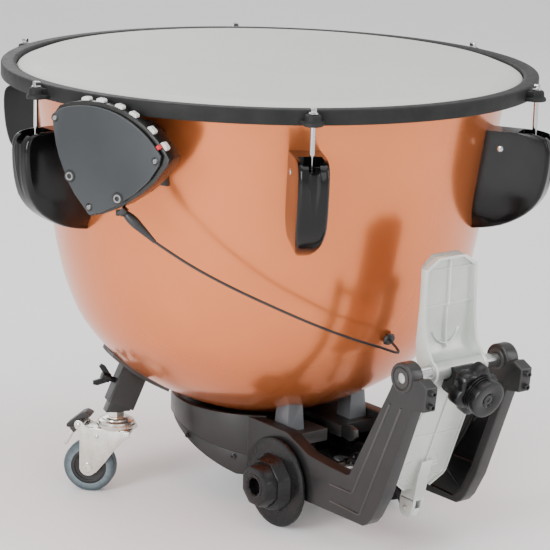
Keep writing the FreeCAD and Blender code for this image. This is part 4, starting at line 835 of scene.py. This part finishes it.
# ------------------------------------------------------------------ casters: fork pressing, swivel race, brake
TD = Vector((math.cos(math.radians(132)), math.sin(math.radians(132)), 0))
TN = Vector((-TD.y, TD.x, 0))
for side in ("left", "right"):
    lo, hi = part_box("caster_hub_" + side)
    hc = (Vector(lo) + Vector(hi)) * 500.0
    C0 = hc - TD * 37.0
    C0.z = 0.0

    def in_fork(a, b, c, o=C0):
        return o + TD * a + TN * c + Vector((0, 0, b))

    def flat(a, b, c, o=C0):
        return o + TD * a + TN * b + Vector((0, 0, c))
    cheek = [(-24.0, 96.5), (-26.0, 90.5), (-16.6, 83.6), (-1.3, 65.6), (12.0, 46.8), (24.6, 31.2)]
    cheek += [(37 + 12.4 * math.cos(math.radians(a)), 37.5 + 12.4 * math.sin(math.radians(a))) for a in range(222, 361, 12)]
    cheek += [(49.4, 90.0), (55.6, 94.0)] + [(51 + 6.6 * math.cos(math.radians(a)), 100 + 6.6 * math.sin(math.radians(a))) for a in range(-30, 131, 20)] + [(41.0, 99.0), (36.0, 96.5)]
    bm = bmesh.new()
    for sgn in (-1, 1):
        sub = prism_bm(cheek, min(sgn * 13.6, sgn * 16.0), max(sgn * 13.6, sgn * 16.0), in_fork, 0.5, 2)
        for cut_at in (23.0, 12.0, 0.0, -12.0):
            bmesh.ops.bisect_plane(sub, geom=sub.verts[:] + sub.edges[:] + sub.faces[:], plane_co=C0 + TD * cut_at, plane_no=TD)
        for v in sub.verts:
            tr = (v.co - C0).dot(TD)
            v.co += TN * (sgn * 0.20 * max(0.0, 23.0 - tr) * min(1.0, max(0.0, (v.co.z - 30.0) / 55.0)))
        join(bm, sub)
        for (a, b, r) in ((51, 100, 3.4), (24, 84.6, 3.0)):
            lathe(bm, [(0, -0.4), (r, -0.4), (r, 0.5), (r * 0.86, 1.3), (r * 0.5, 1.9), (0, 2.1)], in_fork(a, b, sgn * 16.0), TN * sgn, 24)
        lathe(bm, [(0, -0.5), (7.4, -0.5), (7.4, 0.6), (6.9, 1.0), (6.4, 1.0), (6.3, 2.8), (5.6, 3.4), (3.4, 3.5), (3.0, 2.4), (0, 2.3)], in_fork(37, 37.5, sgn * 16.0), TN * sgn, 36)
    rod(bm, in_fork(37, 37.5, -15.5), in_fork(37, 37.5, 15.5), 4.4, 0.3, 24)
    prism(bm, [(-25, -21.6), (-8, -19.6), (23, -15.8), (47, -15.8), (47, 15.8), (23, 15.8), (-8, 19.6), (-25, 21.6)], 92.8, 96.9, flat, 1.2, 2)
    lathe(bm, [(6.4, 96.2), (22, 96.2), (24.5, 97.2), (25.4, 100.2), (27.6, 100.8), (28.0, 102), (28.0, 103.6), (27.2, 104.6), (25.6, 105.0), (25.4, 106.2), (26.2, 106.8),
               (26.0, 108.0), (24.6, 109.0), (20.6, 109.9), (20.2, 111.4), (17.8, 112.7), (14.6, 113.2), (6.4, 113.4)], C0, (0, 0, 1), 72, closed=True)
    ring6 = [[C0 + Vector((r * math.cos(math.radians(60 * k)), r * math.sin(math.radians(60 * k)), z)) for k in range(6)]
             for r, z in ((6.5, 113.3), (11.2, 113.3), (12.1, 114.2), (12.1, 120.4), (11.2, 121.3), (6.5, 121.3))]
    loft(bm, ring6 + [ring6[0]], caps=False)
    finish_mesh("caster_fork_%s_v" % side, bm, "fork_zinc", "fork_" + side, ("caster_fork_" + side,), merge=False)
    bm = bmesh.new()
    prism(bm, [(34, 112.6), (36.4, 115.6), (43.6, 118.2), (49, 116.2), (61, 106.2), (70.4, 98.2), (70.2, 94.0), (65, 93.2), (56, 100.6), (47, 107.6), (40, 108.4)], -11.4, 11.4, in_fork, 1.8, 3)
    for sgn in (-1, 1):
        prism(bm, [(52, 93), (52, 105), (62, 97.5), (66, 91.5), (60, 85)], min(sgn * 6, sgn * 9), max(sgn * 6, sgn * 9), in_fork, 0.7, 2)
    finish_mesh("brake_%s_v" % side, bm, "frame_grey", "brake_" + side, ("brake_" + side,), merge=False)
    bm = bmesh.new()
    prism(bm, [(58, 90), (63, 92), (67.6, 87), (75.2, 69.6), (75.4, 66.8), (73.6, 65.0), (71.2, 65.8), (69.6, 68.4), (62.6, 82)], -5.6, 5.6, in_fork, 1.4, 3)
    finish_mesh("brake_tail_%s_v" % side, bm, "fork_zinc", "brake_" + side, (), merge=False)

# ------------------------------------------------------------------ tuning gauge screws
GE = Vector((math.cos(math.radians(-158)), math.sin(math.radians(-158)), 0))
GT = Vector((-GE.y, GE.x, 0))


def gp(t, z, d):
    return GE * d + GT * t + Vector((0, 0, z))


bm = bmesh.new()
for (t, z) in ((-60.2, 509.6), (13.3, 489.7)):
    lathe(bm, [(3.2, 0.2), (3.2, 1.5), (3.7, 1.9), (5.0, 1.9), (5.5, 1.5), (5.6, 0.2)], gp(t, z, 402), GE, 40, closed=True)
for (t, z) in ((-84.0, 582.5), (68.5, 544.5), (-30.3, 472.8)):
    lathe(bm, [(0, 1.0), (0.8, 0.9), (1.0, 1.5), (2.4, 1.5), (3.0, 1.1), (3.2, 0.2), (0, 0.0)], gp(t, z, 402), GE, 32)
finish_mesh("gauge_screws_v", bm, "inner_steel", "root", ("gauge_screws",))
bm = bmesh.new()
for (t, z) in ((-60.2, 509.6), (13.3, 489.7)):
    lathe(bm, [(5.5, 0.05), (5.5, 1.2), (6.0, 1.5), (7.4, 1.3), (8.0, 0.6), (8.1, 0.05)], gp(t, z, 402), GE, 44, closed=True)
    hexa = [(3.25 * math.cos(math.radians(60 * k)), 3.25 * math.sin(math.radians(60 * k))) for k in range(6)]
    prism(bm, hexa, 401.9, 402.5, lambda a, b, c, t0=t, z0=z: gp(t0 + a, z0 + b, c), 0.1, 1)
for (t, z) in ((-84.0, 582.5), (68.5, 544.5), (-30.3, 472.8)):
    lathe(bm, [(3.2, 0.05), (3.2, 0.9), (3.8, 1.2), (4.8, 0.9), (5.2, 0.05)], gp(t, z, 402), GE, 40, closed=True)
finish_mesh("gauge_rings_v", bm, "gauge_black", "root", (), sharp=40)

# ------------------------------------------------------------------ pointer, note markers and the CAD nodes listed in EASE, with edges eased where the width is above zero
EASE = {
    "flesh_hoop": 0.5, "lug_brackets": 0.5, "pull_rods": 0.3, "tuning_spider": 0.8, "base_housing": 1.4,
    "base_cover": 1.4, "bowl_posts": 1.4, "spring_barrels": 1.0, "front_axle": 0.8,
    "clevis_pin": 0.5, "pedal_link": 0.8, "leg_left": 0.7, "leg_right": 0.7,
    "wing_bolt_left": 1.0, "wing_bolt_right": 1.0,
    "caster_hub_left": 0.6, "caster_hub_right": 0.6, "caster_tyre_left": 0.0, "caster_tyre_right": 0.0,
    "leg_sockets": 1.0, "gauge_cover": 1.1, "gauge_housing": 1.2,
    "gauge_bracket": 0.8, "cable_grommet": 0.6,
}
pa = math.radians(42.3)
pdir = GT * math.cos(pa) + Vector((0, 0, math.sin(pa)))
pcut = gp(-30.0 + 129.0 * math.cos(pa), 470.0 + 129.0 * math.sin(pa), 390.0)
for nm, mt, flags in (("gauge_pointer_v", "pointer_red", {"clear_inner": True}), ("gauge_pointer_blade_v", "gauge_black", {"clear_outer": True})):
    bm = cad_bm("gauge_pointer")
    bmesh.ops.bisect_plane(bm, geom=bm.verts[:] + bm.edges[:] + bm.faces[:], plane_co=pcut, plane_no=pdir, **flags)
    bmesh.ops.holes_fill(bm, edges=[e for e in bm.edges if e.is_boundary], sides=0)
    finish_mesh(nm, bm, mt, BODY["gauge_pointer"], ("gauge_pointer",) if mt == "pointer_red" else ())
for i, ma in enumerate((95.5, 86.3, 74.6, 65.4, 52.3, 41.4)):
    c_, s_ = math.cos(math.radians(ma)), math.sin(math.radians(ma))

    def polar_g(o, r, d, c_=c_, s_=s_):
        return gp(-30.0 + r * c_ - o * s_, 470.0 + r * s_ + o * c_, d)
    bm = bmesh.new()
    prism(bm, [(-5.9, 138.5), (-5.9, 140.6), (-5.2, 142.2), (-3.8, 143.0), (3.8, 143.0), (5.2, 142.2), (5.9, 140.6), (5.9, 138.5)], 385.0, 393.2, polar_g, 0.6, 2)
    for off in (-2.3, 0, 2.3):
        prism(bm, [(off - 0.45, 142.6), (off - 0.45, 143.5), (off + 0.45, 143.5), (off + 0.45, 142.6)], 386.4, 391.8, polar_g, 0.2, 1)
    finish_mesh("note_marker_%d_v" % (i + 1), bm, "marker_white", "marker_%d" % (i + 1), ("note_marker_%d" % (i + 1),), merge=False)
for node, w in EASE.items():
    mat = SLOT.get(node, "frame_grey")
    if w > 0:
        from_cad(node, mat, w, 2 if w < 1.5 else 3)
    else:
        ob = NODES[node]
        ob.data.materials.clear()
        ob.data.materials.append(MAT[mat])

# ------------------------------------------------------------------ floor, lights
fm = bpy.data.meshes.new("floor")
bm = bmesh.new()
bmesh.ops.create_grid(bm, x_segments=8, y_segments=8, size=30)
bm.to_mesh(fm)
bm.free()
floor = bpy.data.objects.new("floor", fm)
scene.collection.objects.link(floor)
fl = material("m_floor", (250, 250, 250), (247, 247, 247), rough=(0.8, 0.9), scale=0.8, bump=0.02, bump_scale=40)
fm.materials.append(fl)

world = bpy.data.worlds.new("studio")
scene.world = world
world.use_nodes = True
bg = world.node_tree.nodes["Background"]
bg.inputs["Color"].default_value = (1.0, 1.0, 1.0, 1.0)
bg.inputs["Strength"].default_value = 0.98


def area(name, loc, target, size, power, size_y=None):
    d = bpy.data.lights.new(name, "AREA")
    d.energy = power
    d.size = size
    if size_y:
        d.shape = "RECTANGLE"
        d.size_y = size_y
    o = bpy.data.objects.new(name, d)
    scene.collection.objects.link(o)
    o.location = loc
    o.rotation_mode = "QUATERNION"
    o.rotation_quaternion = (Vector(target) - Vector(loc)).to_track_quat("-Z", "Y")
    return o


area("top", (0.2, -0.3, 3.0), (0, 0, 0.4), 2.6, 38)
area("key", (-3.2, -0.9, 1.5), (0, 0, 0.3), 1.2, 105, 2.2)
area("front", (-0.6, -3.4, 1.5), (0, 0, 0.3), 0.9, 16, 2.0)
area("strip", (2.2, -2.4, 1.4), (0, 0, 0.35), 0.5, 30, 2.2)
area("back", (1.0, 3.0, 1.9), (0, 0, 0.4), 1.6, 18, 1.4)
